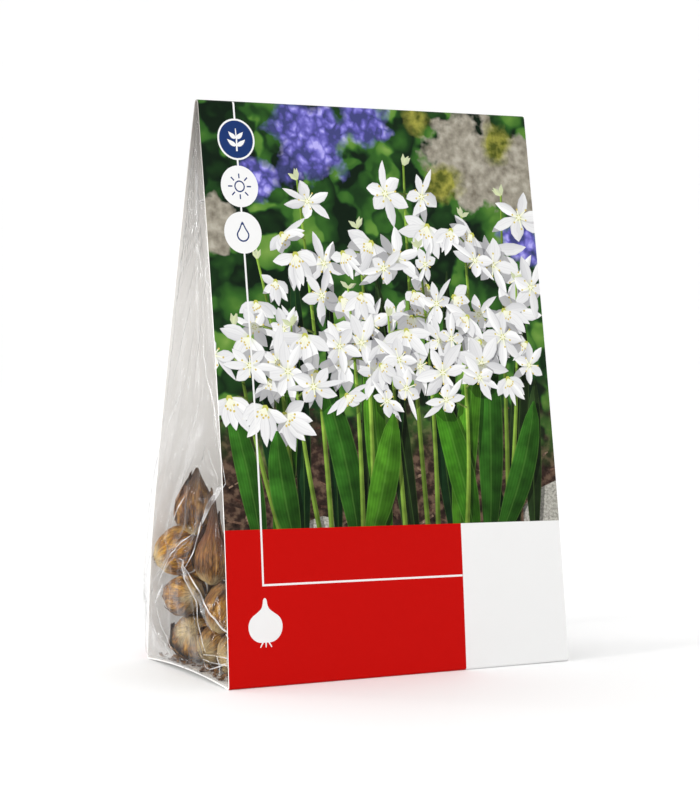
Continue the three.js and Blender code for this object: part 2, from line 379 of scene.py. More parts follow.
inks = {
    "red": (0.5, 0.0015, 0.0003),
    "white": (0.8, 0.8, 0.795),
    "bare": (0.62, 0.61, 0.585),
    "pale": (0.6, 0.6, 0.585),
    "sky": (0.5, 0.66, 0.42),
    "bulb": (0.42, 0.22, 0.07),
    "navy": (0.012, 0.035, 0.14),
    "petal": (0.9, 0.9, 0.895),
    "bud": (0.62, 0.68, 0.4),
    "stem": (0.2, 0.33, 0.045),
    "stalk": (0.3, 0.42, 0.1),
    "filament": (0.84, 0.84, 0.66),
    "anther": (0.62, 0.5, 0.12),
    "ovary": (0.5, 0.52, 0.1),
    "leaves": ((0.031, 0.125, 0.007), (0.048, 0.16, 0.01), (0.02, 0.085, 0.008)),
    "farLeaves": ((0.008, 0.034, 0.01), (0.014, 0.055, 0.014), (0.02, 0.042, 0.012)),
    "chips": ((0.06, 0.03, 0.021), (0.13, 0.075, 0.05), (0.03, 0.018, 0.014), (0.24, 0.16, 0.11)),
    "stone": (0.36, 0.35, 0.31),
}


def turned(point, angle):
    return (
        point[0] * math.cos(angle) - point[1] * math.sin(angle),
        point[0] * math.sin(angle) + point[1] * math.cos(angle),
    )


def ringPoints(centre, radius, count, start=0.0):
    angles = np.linspace(start, start + 2 * math.pi, count, endpoint=False)
    return [(centre[0] + radius * math.cos(a), centre[1] + radius * math.sin(a)) for a in angles]


def outlineOf(line, widths):
    # The outline of a stroke: its left side on the way out, its right side on the way back.
    line, widths = np.array(line, float), np.array(widths, float)
    along = np.gradient(line, axis=0)
    along /= np.linalg.norm(along, axis=1)[:, None] + 1e-9
    across = np.stack([-along[:, 1], along[:, 0]], 1) * widths[:, None]
    return [*(line + across), *(line - across)[::-1]]


class Sheet:
    # What is printed on one panel, from the bottom layer up, in millimetres of the panel. place turns
    # them into the net's.
    def __init__(self, place):
        self.place = place
        self.shapes = []

    def block(self, outline, colour, kind=flatInk, tone=0.5):
        outline = [self.place(*p) for p in outline]
        self.shapes.append({"outline": outline, "colour": colour, "kind": kind, "tone": tone})

    def shadow(self, outline, strength, drop=(0, 0)):
        outline = [self.place(p[0] + drop[0], p[1] + drop[1]) for p in outline]
        self.shapes.append({"outline": outline, "shadow": strength})

    def stroke(self, line, widths, colour, kind=flatInk, tone=0.5):
        # A shape along a line of points, with half its width at each.
        self.block(outlineOf(line, widths), colour, kind, tone)
        self.shapes[-1]["line"] = np.array([self.place(*p) for p in line])
        self.shapes[-1]["widths"] = widths

    def disc(self, centre, radius, colour, steps=40):
        self.block(ringPoints(centre, radius, steps), colour)


def quadratic(a, b, c, steps):
    return [
        tuple((1 - t) ** 2 * a[i] + 2 * t * (1 - t) * b[i] + t * t * c[i] for i in (0, 1))
        for t in np.linspace(0, 1, steps)
    ]


flowerShape = {
    "stations": (0, 0.2, 0.45, 0.68, 0.88, 1),  # along a petal, and its width at each
    "widths": (0.24, 0.6, 1.0, 0.92, 0.46, 0.04),
    # the least and the most of each, and the lengths as shares of the flower's size
    "length": (0.85, 1.12),
    "halfWidth": (0.17, 0.245),
    "bend": (-0.3, 0.3),
    "squash": (0.42, 0.95),  # how far the flower is turned away
    "tone": (0.3, 1),
    "stray": 0.16,  # radians that a petal strays from its place
    "fan": 1.3,  # radians to each side that a hanging flower's petals spread
    "fanStray": 0.15,
    "backTone": 0.75,  # the outer three petals are this much dimmer
    "petalDrop": (0.45, -0.6),  # millimetres, where a petal's shadow falls
    "petalShadow": 0.78,
    "flowerDrop": (1.2, -1.6),
    "flowerShadow": 0.5,
    "shadowSize": 0.62,
    "shadowFrom": 9,  # flowers smaller than this throw no shadow on what lies behind
    "ovary": 0.1,
    "filament": (0.2, 0.36),
    "filamentWidth": 0.02,
    "filamentFan": 0.75,
    "anther": 0.036,
}


def petalLine(centre, petal, squash, tilt):
    # A petal's centre line and half widths, foreshortened by squash across the direction tilt.
    line = []
    for t in flowerShape["stations"]:
        p = turned((t * petal["length"], petal["bend"] * petal["length"] * t * t), petal["angle"] - tilt)
        q = turned((p[0], p[1] * squash), tilt)
        line.append((centre[0] + q[0], centre[1] + q[1]))
    narrowing = lerp(1, squash, abs(math.cos(petal["angle"] - tilt)) ** 2)
    return line, [w * petal["width"] * narrowing for w in flowerShape["widths"]]


def drawFlower(sheet, rng, centre, size, droop=None):
    # A star flower, facing the viewer or hanging towards droop.
    f = flowerShape
    turn = rng.uniform(0, math.pi / 3)
    tilt, squash = rng.uniform(0, math.pi), rng.uniform(*f["squash"])
    petals = []
    for k in range(6):
        angle = turn + k * math.pi / 3 + rng.uniform(-f["stray"], f["stray"])
        if droop is not None:
            angle = droop + lerp(-f["fan"], f["fan"], k / 5) + rng.uniform(-f["fanStray"], f["fanStray"])
        petals.append({
            "angle": angle,
            "length": size * rng.uniform(*f["length"]),
            "width": size * rng.uniform(*f["halfWidth"]),
            "bend": rng.uniform(*f["bend"]),
            "tone": rng.uniform(*f["tone"]),
        })
    if size > f["shadowFrom"]:
        behind = ringPoints(centre, size * f["shadowSize"], 9, turn)
        sheet.shadow(behind, f["flowerShadow"], f["flowerDrop"])
    order = (1, 3, 5, 0, 2, 4) if droop is None else (0, 5, 1, 4, 2, 3)
    for layer, k in enumerate(order):
        line, widths = petalLine(centre, petals[k], squash, tilt)
        tone = petals[k]["tone"]
        if layer > 2:
            sheet.shadow(outlineOf(line, [w * 1.05 for w in widths]), f["petalShadow"], f["petalDrop"])
        else:
            tone *= f["backTone"]
        sheet.stroke(line, widths, inks["petal"], petalInk, tone)
    sheet.block(ringPoints(centre, size * f["ovary"], 6), inks["ovary"], softInk, rng.uniform(0.3, 0.9))
    for k in range(6):
        angle = turn + 0.5 + k * 1.05
        if droop is not None:
            angle = droop + lerp(-f["filamentFan"], f["filamentFan"], k / 5)
        reach = turned((size * rng.uniform(*f["filament"]), 0), angle)
        tip = (centre[0] + reach[0], centre[1] + reach[1])
        sheet.stroke([centre, tip], [size * f["filamentWidth"]] * 2, inks["filament"], softInk, 0.8)
        anther = ringPoints(tip, size * f["anther"], 5, angle)
        sheet.block(anther, inks["anther"], softInk, rng.uniform(0.1, 1))


def drawBud(sheet, rng, foot, angle, length):
    x, y = turned((length, 0), angle)
    line = [(foot[0] + x * t, foot[1] + y * t) for t in (0, 0.5, 1)]
    sheet.stroke(line, [length * 0.12, length * 0.24, 0.1], inks["bud"], petalInk, rng.uniform(0.5, 1))


racemeShape = {
    "steps": 12,
    "widths": (1.2, 0.5),  # half the stem's width at its foot and at its head, in millimetres
    "shadow": 0.45,
    "drop": (1.3, 0),
    "buds": 3,
    "bud": 0.34,  # a bud's length, as a share of a flower's size
    "stations": (0.99, 0.56),  # where the first and the last flower grow, along the stem
    "reach": (0.35, 0.9),  # how far off the stem, as a share of the flower's size
    "stalk": (0.5, 0.42, 0.4),
    "stalkRise": 0.8,
    "hanging": 0.45,  # the share of flowers that hang
    "sizes": (0.88, 1.12),
}


def drawRaceme(sheet, rng, foot, bow, top, flowers, size):
    # A stem with flowers to each side in turn, and buds at its top.
    r = racemeShape
    steps, last = r["steps"], r["steps"] - 1
    stem = quadratic(foot, bow, top, steps)
    widths = [lerp(*r["widths"], t) for t in np.linspace(0, 1, steps)]
    sheet.shadow(outlineOf(stem, [w * 1.2 for w in widths]), r["shadow"], r["drop"])
    sheet.stroke(stem, widths, inks["stem"], leafInk, rng.uniform(0.45, 0.85))
    for _ in range(r["buds"]):
        drawBud(sheet, rng, top, rng.uniform(0.4, 2.7), size * r["bud"])
    for k in range(flowers):
        t = lerp(*r["stations"], k / max(flowers - 1, 1))
        at = stem[min(int(t * last), last)]
        side = (-1) ** k
        angle = math.pi / 2 - side * rng.uniform(0.4, 1.8)
        reach = size * rng.uniform(*r["reach"])
        centre = (at[0] + reach * math.cos(angle), at[1] + reach * math.sin(angle) * 0.7)
        middle = ((at[0] + centre[0]) / 2, (at[1] + centre[1]) / 2 + r["stalkRise"])
        sheet.stroke([at, middle, centre], r["stalk"], inks["stalk"], leafInk, 0.7)
        droop = -math.pi / 2 - side * rng.uniform(-0.3, 1.1) if rng.random() < r["hanging"] else None
        drawFlower(sheet, rng, centre, size * rng.uniform(*r["sizes"]), droop)


leafShape = {
    "widths": (0.5, 0.72, 0.9, 1, 1, 0.95, 0.82, 0.58, 0.08),
    "shadow": 0.4,
    "drop": (1.8, -0.8),
}


def drawLeaf(sheet, rng, foot, tip, bend, width, tone, greens):
    middle = ((foot[0] + tip[0]) / 2 + bend, (foot[1] + tip[1]) / 2)
    line = quadratic(foot, middle, tip, len(leafShape["widths"]))
    widths = [share * width for share in leafShape["widths"]]
    sheet.shadow(outlineOf(line, widths), leafShape["shadow"], leafShape["drop"])
    sheet.stroke(line, widths, rng.choice(greens), leafInk, tone)


def rectangle(left, foot, right, top):
    return [(left, foot), (right, foot), (right, top), (left, top)]


bleed = 4  # millimetres that the print reaches past the panel's edges
printFoot = -foldArc * 0.35  # and below it, into the fold


frontPrint = {
    "bandLeft": 64.8,  # the top of the red band, at the left and right edges
    "bandRight": 61.9,
    "blockFrom": 30.5,  # where the bare white block starts
    "rule": -65.8,  # the thin white upright line
    "ruleTurn": 41.6,  # and the height where it turns to the right
    "ruleWidth": 0.42,
    "ruleDrop": 1.2,  # how far it falls by where it meets the block
    "blockLean": 0.6,  # how far the block's side leans from foot to top, to each side of its place
    "discs": (226.9, 207.0, 187.5),
    "discRadius": 8.8,
    "discRim": 0.8,
    "bulbMark": (-65.3, 26.3),
    "seed": 41,
}
gardenPlan = {
    "edge": halfWidth + 6,
    "chips": 190,
    "chipSpread": 19,  # millimetres above the band that most chips of bark lie within
    "chipLong": (2, 8),
    "chipTurn": 0.75,
    "chipWidths": ((0.25, 0.7), (0.15, 0.5)),  # half of it, at its two ends
    "stones": ((62, 96, 19), (-48, -30, 8)),  # left, right and height
    "stoneOutline": ((0, -2), (0.06, 0.4), (0.3, 0.8), (0.62, 1), (0.85, 0.9), (1, 0.5), (1, -2)),
    "farLeaves": 13,
    "farFrom": ((-80, 82), (30, 118)),  # across, and height
    "farLean": 24,
    "farBend": 7,
    "farWidth": (2.6, 5.2),
    "farTone": (0.1, 0.6),
    "leafBend": 6,
    "leafTone": (0.45, 1),
    "flower": (12.4, 15.4),  # the smallest and the largest flower's size, about a petal's length
    # where each flower stem's head stands: across, above the band, and how many flowers it has
    "stems": (
        (-60, 116, 6), (-38, 150, 6), (-10, 130, 7), (16, 158, 7), (44, 136, 7), (70, 108, 6),
        (-46, 88, 6), (2, 92, 6), (37, 92, 6), (66, 146, 6), (-73, 88, 5), (-17, 104, 6), (20, 122, 6),
    ),
    # the leaves in front: where the foot stands, how far the tip leans, its height and half its width
    "frontLeaves": (
        (-66, -12, 58, 5.4), (-58, 9, 84, 5.4), (-50, -6, 44, 6.2), (-20, -14, 70, 6.4),
        (-14, 15, 50, 6.6), (-6, -3, 82, 5.6), (30, 17, 80, 6), (38, -15, 62, 6.6), (46, 6, 90, 6.4),
        (52, 22, 54, 6.2),
    ),
}


def drawGarden(sheet, rng, low):
    # Soil, stones, far leaves, then stems of white star flowers among strap leaves.
    plan = gardenPlan
    edge, spread = plan["edge"], plan["chipTurn"]
    sheet.block(rectangle(-edge, low, edge, panelHeight + 3), inks["leaves"][0], gardenInk)
    for _ in range(plan["chips"]):
        x, y = rng.uniform(-edge, edge), low + abs(rng.gauss(0, plan["chipSpread"]))
        tip = turned((rng.uniform(*plan["chipLong"]), 0), rng.uniform(-spread, spread))
        widths = [rng.uniform(*pair) for pair in plan["chipWidths"]]
        line = [(x, y), (x + tip[0], y + tip[1])]
        sheet.stroke(line, widths, rng.choice(inks["chips"]), chipInk, rng.random())
    for left, right, height in plan["stones"]:
        outline = [(left + (right - left) * a, low + height * b) for a, b in plan["stoneOutline"]]
        sheet.block(outline, inks["stone"], stoneInk)
    foot = low - 3
    for _ in range(plan["farLeaves"]):
        x, height = (rng.uniform(*pair) for pair in plan["farFrom"])
        tip = (x + rng.uniform(-plan["farLean"], plan["farLean"]), low + height)
        bend = rng.uniform(-plan["farBend"], plan["farBend"])
        width, tone = rng.uniform(*plan["farWidth"]), rng.uniform(*plan["farTone"])
        drawLeaf(sheet, rng, (x, foot), tip, bend, width, tone, inks["farLeaves"])
    stems = sorted(plan["stems"], key=lambda stem: -stem[1])
    front = sorted(plan["frontLeaves"], key=lambda leaf: -leaf[2])
    for k, (x, height, flowers) in enumerate(stems):
        start = (x * 0.82 + rng.uniform(-5, 5), foot)
        bow = (lerp(start[0], x, 0.5) + rng.uniform(-6, 6), low + height * 0.55)
        drawRaceme(sheet, rng, start, bow, (x, low + height), flowers, rng.uniform(*plan["flower"]))
        nearer = front[k * len(front) // len(stems) : (k + 1) * len(front) // len(stems)]
        for place, lean, tall, width in nearer:
            bend = rng.uniform(-plan["leafBend"], plan["leafBend"])
            tip, tone = (place + lean, low + tall), rng.uniform(*plan["leafTone"])
            drawLeaf(sheet, rng, (place, foot), tip, bend, width, tone, inks["leaves"])


def drawFront():
    # The front: the garden above a red band, which a white block breaks, and the signs on their line.
    p = frontPrint
    rng = random.Random(p["seed"])
    sheet = Sheet(lambda x, y: (x, frontFoot + y))
    drawGarden(sheet, rng, p["bandLeft"] - bleed)
    edge, foot, white = halfWidth + bleed, printFoot, inks["white"]

    def bandTop(x):
        return lerp(p["bandLeft"], p["bandRight"], (x + halfWidth) / (2 * halfWidth))

    band = [(-edge, foot), (edge, foot), (edge, bandTop(edge)), (-edge, bandTop(-edge))]
    sheet.block(band, inks["red"])
    block, lean = p["blockFrom"], p["blockLean"]
    low, high = (block - lean, foot), (block + lean, bandTop(block))
    sheet.block([low, (edge, foot), (edge, bandTop(edge)), high], white)
    w, x, turn = p["ruleWidth"], p["rule"], p["ruleTurn"]
    left, end = x - w, turn - p["ruleDrop"]
    sheet.block(rectangle(left, turn - w, x + w, panelHeight - 1), white)
    sheet.block([(left, turn - w), (block, end - w), (block, end + w), (left, turn + w)], white)
    for k, y in enumerate(p["discs"]):
        sheet.disc((x, y), p["discRadius"], white)
        if k == 0:
            sheet.disc((x, y), p["discRadius"] - p["discRim"], inks["navy"])
    for draw, y, ink in zip((drawSprig, drawSun, drawDrop), p["discs"], ("white", "navy", "navy")):
        draw(sheet, (x, y), inks[ink])
    drawBulbMark(sheet, p["bulbMark"], white)
    return sheet


signShapes = {
    # millimetres from the sign's middle
    "stem": ((0, -5), (0.2, 0), (0, 4.6)),
    "stemWidths": (0.4, 0.35, 0.2),
    "leaves": ((-2.6, 4.2), (0.6, 3.4)),  # the height of a leaf's foot, and how far it reaches
    "leafWidths": (0.15, 0.75, 1.0, 0.9, 0.55, 0.05),
    "sun": 2.5,
    "sunInside": 1.9,
    "rays": 8,
    "ray": (3.4, 5.4),
    "rayWidth": 0.3,
    "drop": 3,  # the drop's round end, how far its tip stands off it, and how slim it gets
    "dropTip": 2.6,
    "dropSlim": 0.35,
    "dropLow": 0.9,
    "dropInside": 0.78,
    "bulb": (
        (0, -8.2), (3.6, -8.2), (6.8, -5.8), (8.1, -1.8), (6.9, 2.0), (3.2, 4.4), (1.2, 6.2), (0.8, 10),
    ),
    "roots": (-2.6, 0, 2.6),
    "rootEnds": (8, 10.2),
    "rootWidths": (0.35, 0.2),
}


def drawSprig(sheet, centre, colour):
    s = signShapes
    x, y = centre
    sheet.stroke([(x + a, y + b) for a, b in s["stem"]], s["stemWidths"], colour)
    for side in (-1, 1):
        for foot, reach in s["leaves"]:
            middle, tip = (x + side * reach * 0.5, y + foot + 0.4), (x + side * reach, y + foot + 2.6)
            line = quadratic((x, y + foot), middle, tip, len(s["leafWidths"]))
            sheet.stroke(line, s["leafWidths"], colour)


def drawSun(sheet, centre, colour):
    s = signShapes
    x, y = centre
    sheet.disc(centre, s["sun"], colour, 24)
    sheet.disc(centre, s["sunInside"], inks["white"], 24)
    for k in range(s["rays"]):
        angle = 2 * k * math.pi / s["rays"]
        line = [(x + r * math.cos(angle), y + r * math.sin(angle)) for r in s["ray"]]
        sheet.stroke(line, [s["rayWidth"]] * 2, colour)


def drawDrop(sheet, centre, colour):
    s = signShapes
    x, y = centre
    for size, ink in ((1, colour), (s["dropInside"], inks["white"])):
        outline = []
        for a in np.linspace(0, 2 * math.pi, 24, endpoint=False):
            r = s["drop"] * size
            upward = max(0, math.cos(a))
            across = r * math.sin(a) * (1 - s["dropSlim"] * upward**2)
            height = r * math.cos(a) + upward**6 * s["dropTip"] * size
            outline.append((x + across, y - s["dropLow"] + height))
        sheet.block(outline, ink)


def rounded(outline, rounds=2):
    # An outline with its corners cut, again and again.
    for _ in range(rounds):
        sides = zip(outline, [*outline[1:], outline[0]])
        outline = [(lerp(a[0], b[0], t), lerp(a[1], b[1], t)) for a, b in sides for t in (0.25, 0.75)]
    return outline


def drawBulbMark(sheet, centre, ink, size=1.0):
    s = signShapes
    x, y = centre
    sides = [*s["bulb"], *((-a, b) for a, b in reversed(s["bulb"][1:]))]
    sheet.block([(x + size * a, y + size * b) for a, b in rounded(sides)], ink)
    low, lower = s["rootEnds"]
    for lean in s["roots"]:
        line = [(x + lean * 0.5 * size, y - low * size), (x + lean * size, y - lower * size)]
        sheet.stroke(line, [w * size for w in s["rootWidths"]], ink)


backPrint = {
    "band": 30,  # the red band's top
    "gardenFrom": 178,
    "gardenRule": 1.2,
    "stems": ((-62, 46, 4), (-34, 34, 3), (-8, 50, 4), (22, 38, 4), (48, 50, 4), (72, 34, 3)),
    "stemFlower": 12,
    "scene": (-70, 44, -6, 164),  # the planting drawing: left, foot, right, top
    "soilTop": 92,
    "chips": 46,
    "bulbs": (-56, -38, -20),  # where the drawn bulbs stand, across
    "bulbHeight": 66,
    "bulbSize": 0.9,
    "leafLeans": (-10, 9),
    "discs": (16, 38, 60),
    "discHeight": 150,
    "discRim": 0.7,
    "month": 4.3,  # a month's block, and the step from one to the next
    "monthStep": 5.1,
    "monthsFrom": 6,
    "monthRows": ((118, "red", (1, 2, 3)), (108, "navy", (8, 9, 10))),
    "boxes": (((6, 44, 70, 96), "pale"), ((8, 46, 68, 94), "white")),
    "bulbMark": (-65, 14),
    "bulbMarkSize": 0.8,
    "seed": 19,
}


def drawPlanting(sheet, rng):
    # Bulbs in the soil, each with leaves and a stem above it.
    p = backPrint
    left, low, right, top = p["scene"]
    sheet.block(rectangle(left, low, right, top), inks["sky"])
    sheet.block(rectangle(left, low, right, p["soilTop"]), inks["chips"][1])
    for _ in range(p["chips"]):
        x, y = rng.uniform(left + 2, right - 5), rng.uniform(low + 2, p["soilTop"] - 2)
        tip = turned((rng.uniform(1, 3), 0), rng.uniform(-0.6, 0.6))
        sheet.stroke([(x, y), (x + tip[0], y + tip[1])], [0.3, 0.2], rng.choice(inks["chips"]))
    for x in p["bulbs"]:
        foot, head = (x, p["bulbHeight"] + 6), (x + rng.uniform(-3, 3), top - rng.uniform(12, 20))
        for lean in p["leafLeans"]:
            tip = (x + lean + rng.uniform(-2, 2), top - rng.uniform(26, 40))
            drawLeaf(sheet, rng, foot, tip, lean * 0.2, 2.6, 0.8, inks["leaves"])
        drawRaceme(sheet, rng, foot, (x, top - 50), head, 3, 7)
        drawBulbMark(sheet, (x, p["bulbHeight"]), inks["bulb"], p["bulbSize"])


def drawBack():
    # The back: a strip of the garden over a pale panel with a planting drawing, signs and a calendar.
    p = backPrint
    rng = random.Random(p["seed"])
    sheet = Sheet(lambda x, y: (-x, backFoot - y))
    edge, garden = halfWidth + bleed, p["gardenFrom"]
    sheet.block(rectangle(-edge, printFoot, edge, panelHeight), inks["white"])
    sheet.block(rectangle(-edge, printFoot, edge, p["band"]), inks["red"])
    sheet.block(rectangle(-edge, garden, edge, panelHeight), inks["leaves"][0], gardenInk)
    for x, height, flowers in p["stems"]:
        foot, bow, head = (x * 0.9, garden - 4), (x * 0.95 + 3, garden + 12), (x, garden + height)
        drawRaceme(sheet, rng, foot, bow, head, flowers, p["stemFlower"])
    sheet.block(rectangle(-edge, garden - 26, edge, garden), inks["white"])
    sheet.block(rectangle(-edge, garden - p["gardenRule"], edge, garden), inks["red"])
    drawPlanting(sheet, rng)
    for y, ink, months in p["monthRows"]:
        for k in range(12):
            x = p["monthsFrom"] + k * p["monthStep"]
            colour = inks[ink] if k in months else inks["pale"]
            sheet.block(rectangle(x, y, x + p["month"], y + p["month"]), colour)
    signs = ((drawSprig, inks["white"]), (drawSun, inks["navy"]), (drawDrop, inks["navy"]))
    for k, (x, (draw, ink)) in enumerate(zip(p["discs"], signs)):
        centre = (x, p["discHeight"])
        sheet.disc(centre, frontPrint["discRadius"], inks["navy"])
        if k:
            sheet.disc(centre, frontPrint["discRadius"] - p["discRim"], inks["white"])
        draw(sheet, centre, ink)
    for box, ink in p["boxes"]:
        sheet.block(rectangle(*box), inks[ink])
    drawBulbMark(sheet, p["bulbMark"], inks["white"], p["bulbMarkSize"])
    return sheet


def nearestOn(points, line):
    # For each point: how far it is from a line, how far along it from 0 to 1, and 1 on its left or -1
    # on its right.
    distance = np.full(len(points), 1e9)
    along, side = np.zeros(len(points)), np.ones(len(points))
    for k in range(len(line) - 1):
        a, d = line[k], line[k + 1] - line[k]
        length = math.hypot(*d) + 1e-9
        t = np.clip(((points - a) @ d) / length**2, 0, 1)
        offset = points - a - t[:, None] * d
        reach = np.hypot(offset[:, 0], offset[:, 1])
        nearer = reach < distance
        distance[nearer] = reach[nearer]
        along[nearer] = ((k + t) / (len(line) - 1))[nearer]
        side[nearer] = np.where(d[0] * offset[:, 1] >= d[1] * offset[:, 0], 1, -1)[nearer]
    return distance, along, side


def placeInStroke(points, line, widths):
    distance, along, side = nearestOn(points, line)
    width = np.interp(along, np.linspace(0, 1, len(widths)), widths) + 1e-6
    return along, np.clip(side * distance / width, -1, 1)


netGrid = {
    "base": 8,  # rows across half the base
    "fold": 4,
    "wall": 16,
    "ridge": 8,
    "columns": 12,
    "fineFoot": 14,  # millimetres of wall above each fold with these columns
    "tiles": 7,  # how many cuts part the picture's wall into tiles, from tilesFrom above the fold on
    "tilesFrom": 55,
    "nearly": 1e-4,  # millimetres: points as near as this to a line are on it
    "joined": 2e-3,  # and these are one point, along the tiles' borders
}


def netRows():
    steps = [netGrid[k] for k in ("base", "fold", "wall", "ridge", "wall", "fold", "base")]
    rows = [0.0]
    for k, count in enumerate(steps):
        rows += list(np.linspace(knots[k], knots[k + 1], count + 1)[1:])
    return rows


def anticlockwise(outline):
    outline = [tuple(map(float, p)) for p in outline]
    area = sum(a[0] * b[1] - b[0] * a[1] for a, b in zip(outline, outline[1:] + outline[:1]))
    return outline if area > 0 else outline[::-1]


def crosses(a, b, c, d):
    # Whether the segments ab and cd cross.
    def turn(p, q, r):
        return (q[0] - p[0]) * (r[1] - p[1]) - (q[1] - p[1]) * (r[0] - p[0])

    return turn(a, b, c) * turn(a, b, d) < 0 and turn(c, d, a) * turn(c, d, b) < 0


def isSimple(outline):
    # Whether an outline never crosses itself.
    sides = list(zip(outline, [*outline[1:], outline[0]]))
    pairs = ((i, j) for i in range(len(sides)) for j in range(i + 2, len(sides)))
    return not any(crosses(*sides[i], *sides[j]) for i, j in pairs)


def cutTile(shapes, rows, ends, low, high):
    # One stretch of the net, cut along every outline and row in it.
    points, edges, faces = [], [], []

    def addLoop(outline):
        start = len(points)
        points.extend(Vector(p) for p in anticlockwise(outline))
        faces.append(list(range(start, len(points))))

    def addLine(a, b):
        start = len(points)
        points.extend((Vector(a), Vector(b)))
        edges.append((start, start + 1))

    left, right = ([s for s in side if low - 1e-6 <= s <= high + 1e-6] for side in ends)
    addLoop([*[(halfWidth, s) for s in right], *[(-halfWidth, s) for s in left[::-1]]])
    numbers = [0]
    for number, shape in enumerate(shapes, 1):
        heights = [p[1] for p in shape["outline"]]
        if max(heights) > low and min(heights) < high:
            addLoop(shape["outline"])
            numbers.append(number)
    for s in rows:
        if low < s < high:
            addLine((-halfWidth, s), (halfWidth, s))
    finer = knots[2] + netGrid["fineFoot"]
    for a, b in ((0, finer), (netLength - finer, netLength)):
        if low < b and high > a:
            for u in np.linspace(-halfWidth, halfWidth, netGrid["columns"] + 1)[1:-1]:
                addLine((u, max(a, low)), (u, min(b, high)))
    cut = delaunay_2d_cdt(points, edges, faces, 1, netGrid["nearly"], True)
    corners, triangles, sources = cut[0], cut[2], cut[5]
    within = [(face, owners) for face, owners in zip(triangles, sources) if 0 in owners]
    kept = [(face, [numbers[i] for i in owners]) for face, owners in within]
    return np.array([tuple(v) for v in corners]), kept


def partition(shapes, rows, borders, ends):
    # The whole net, tile by tile, joined again along the tiles' borders.
    places, faces, owners = [], [], []
    for low, high in zip(borders, borders[1:]):
        tilePlaces, kept = cutTile(shapes, rows, ends, low, high)
        shift = sum(map(len, places))
        places.append(tilePlaces)
        faces += [[i + shift for i in face] for face, _ in kept]
        owners += [ids for _, ids in kept]
    places = np.vstack(places)
    target = np.arange(len(places))
    for border in borders[1:-1]:
        on = np.flatnonzero(np.abs(places[:, 1] - border) < netGrid["nearly"])
        on = on[np.argsort(places[on, 0], kind="stable")]
        for a, b in zip(on, on[1:]):
            if places[b, 0] - places[a, 0] < netGrid["joined"]:
                target[b] = target[a]
    joined = [[int(target[i]) for i in face] for face in faces]
    whole = [k for k, face in enumerate(joined) if len(set(face)) == 3]
    used = sorted({i for k in whole for i in joined[k]})
    renumber = {old: new for new, old in enumerate(used)}
    faces = [[renumber[i] for i in joined[k]] for k in whole]
    return places[used], faces, [owners[k] for k in whole]


def cardInks(places, faces, owners, shapes):
    # What each triangle is printed with: its colour, its place in its stroke with its tone, and its kind.
    darkest = 0.2
    colours = np.zeros((len(faces), 3, 4), np.float32)
    at = np.zeros((len(faces), 3, 3), np.float32)
    kinds = np.zeros((len(faces), 3), np.float32)
    byShape = {}
    for k, ids in enumerate(owners):
        solid = max((i for i in ids if i and "shadow" not in shapes[i - 1]), default=0)
        shade = 1.0
        for i in ids:
            if i > solid and "shadow" in shapes[i - 1]:
                shade *= shapes[i - 1]["shadow"]
        shape = shapes[solid - 1]
        colours[k, :, :3] = np.array(shape["colour"]) * max(shade, darkest)
        colours[k, :, 3] = 1
        kinds[k] = shape["kind"]
        at[k, :, 2] = shape["tone"]
        byShape.setdefault(solid, []).append(k)
    for solid, members in byShape.items():
        shape = shapes[solid - 1]
        if "line" not in shape:
            continue
        corners = places[np.array([faces[k] for k in members])].reshape(-1, 2)
        along, across = placeInStroke(corners, shape["line"], shape["widths"])
        at[members, :, 0] = along.reshape(-1, 3)
        at[members, :, 1] = across.reshape(-1, 3)
    return colours, at, kinds


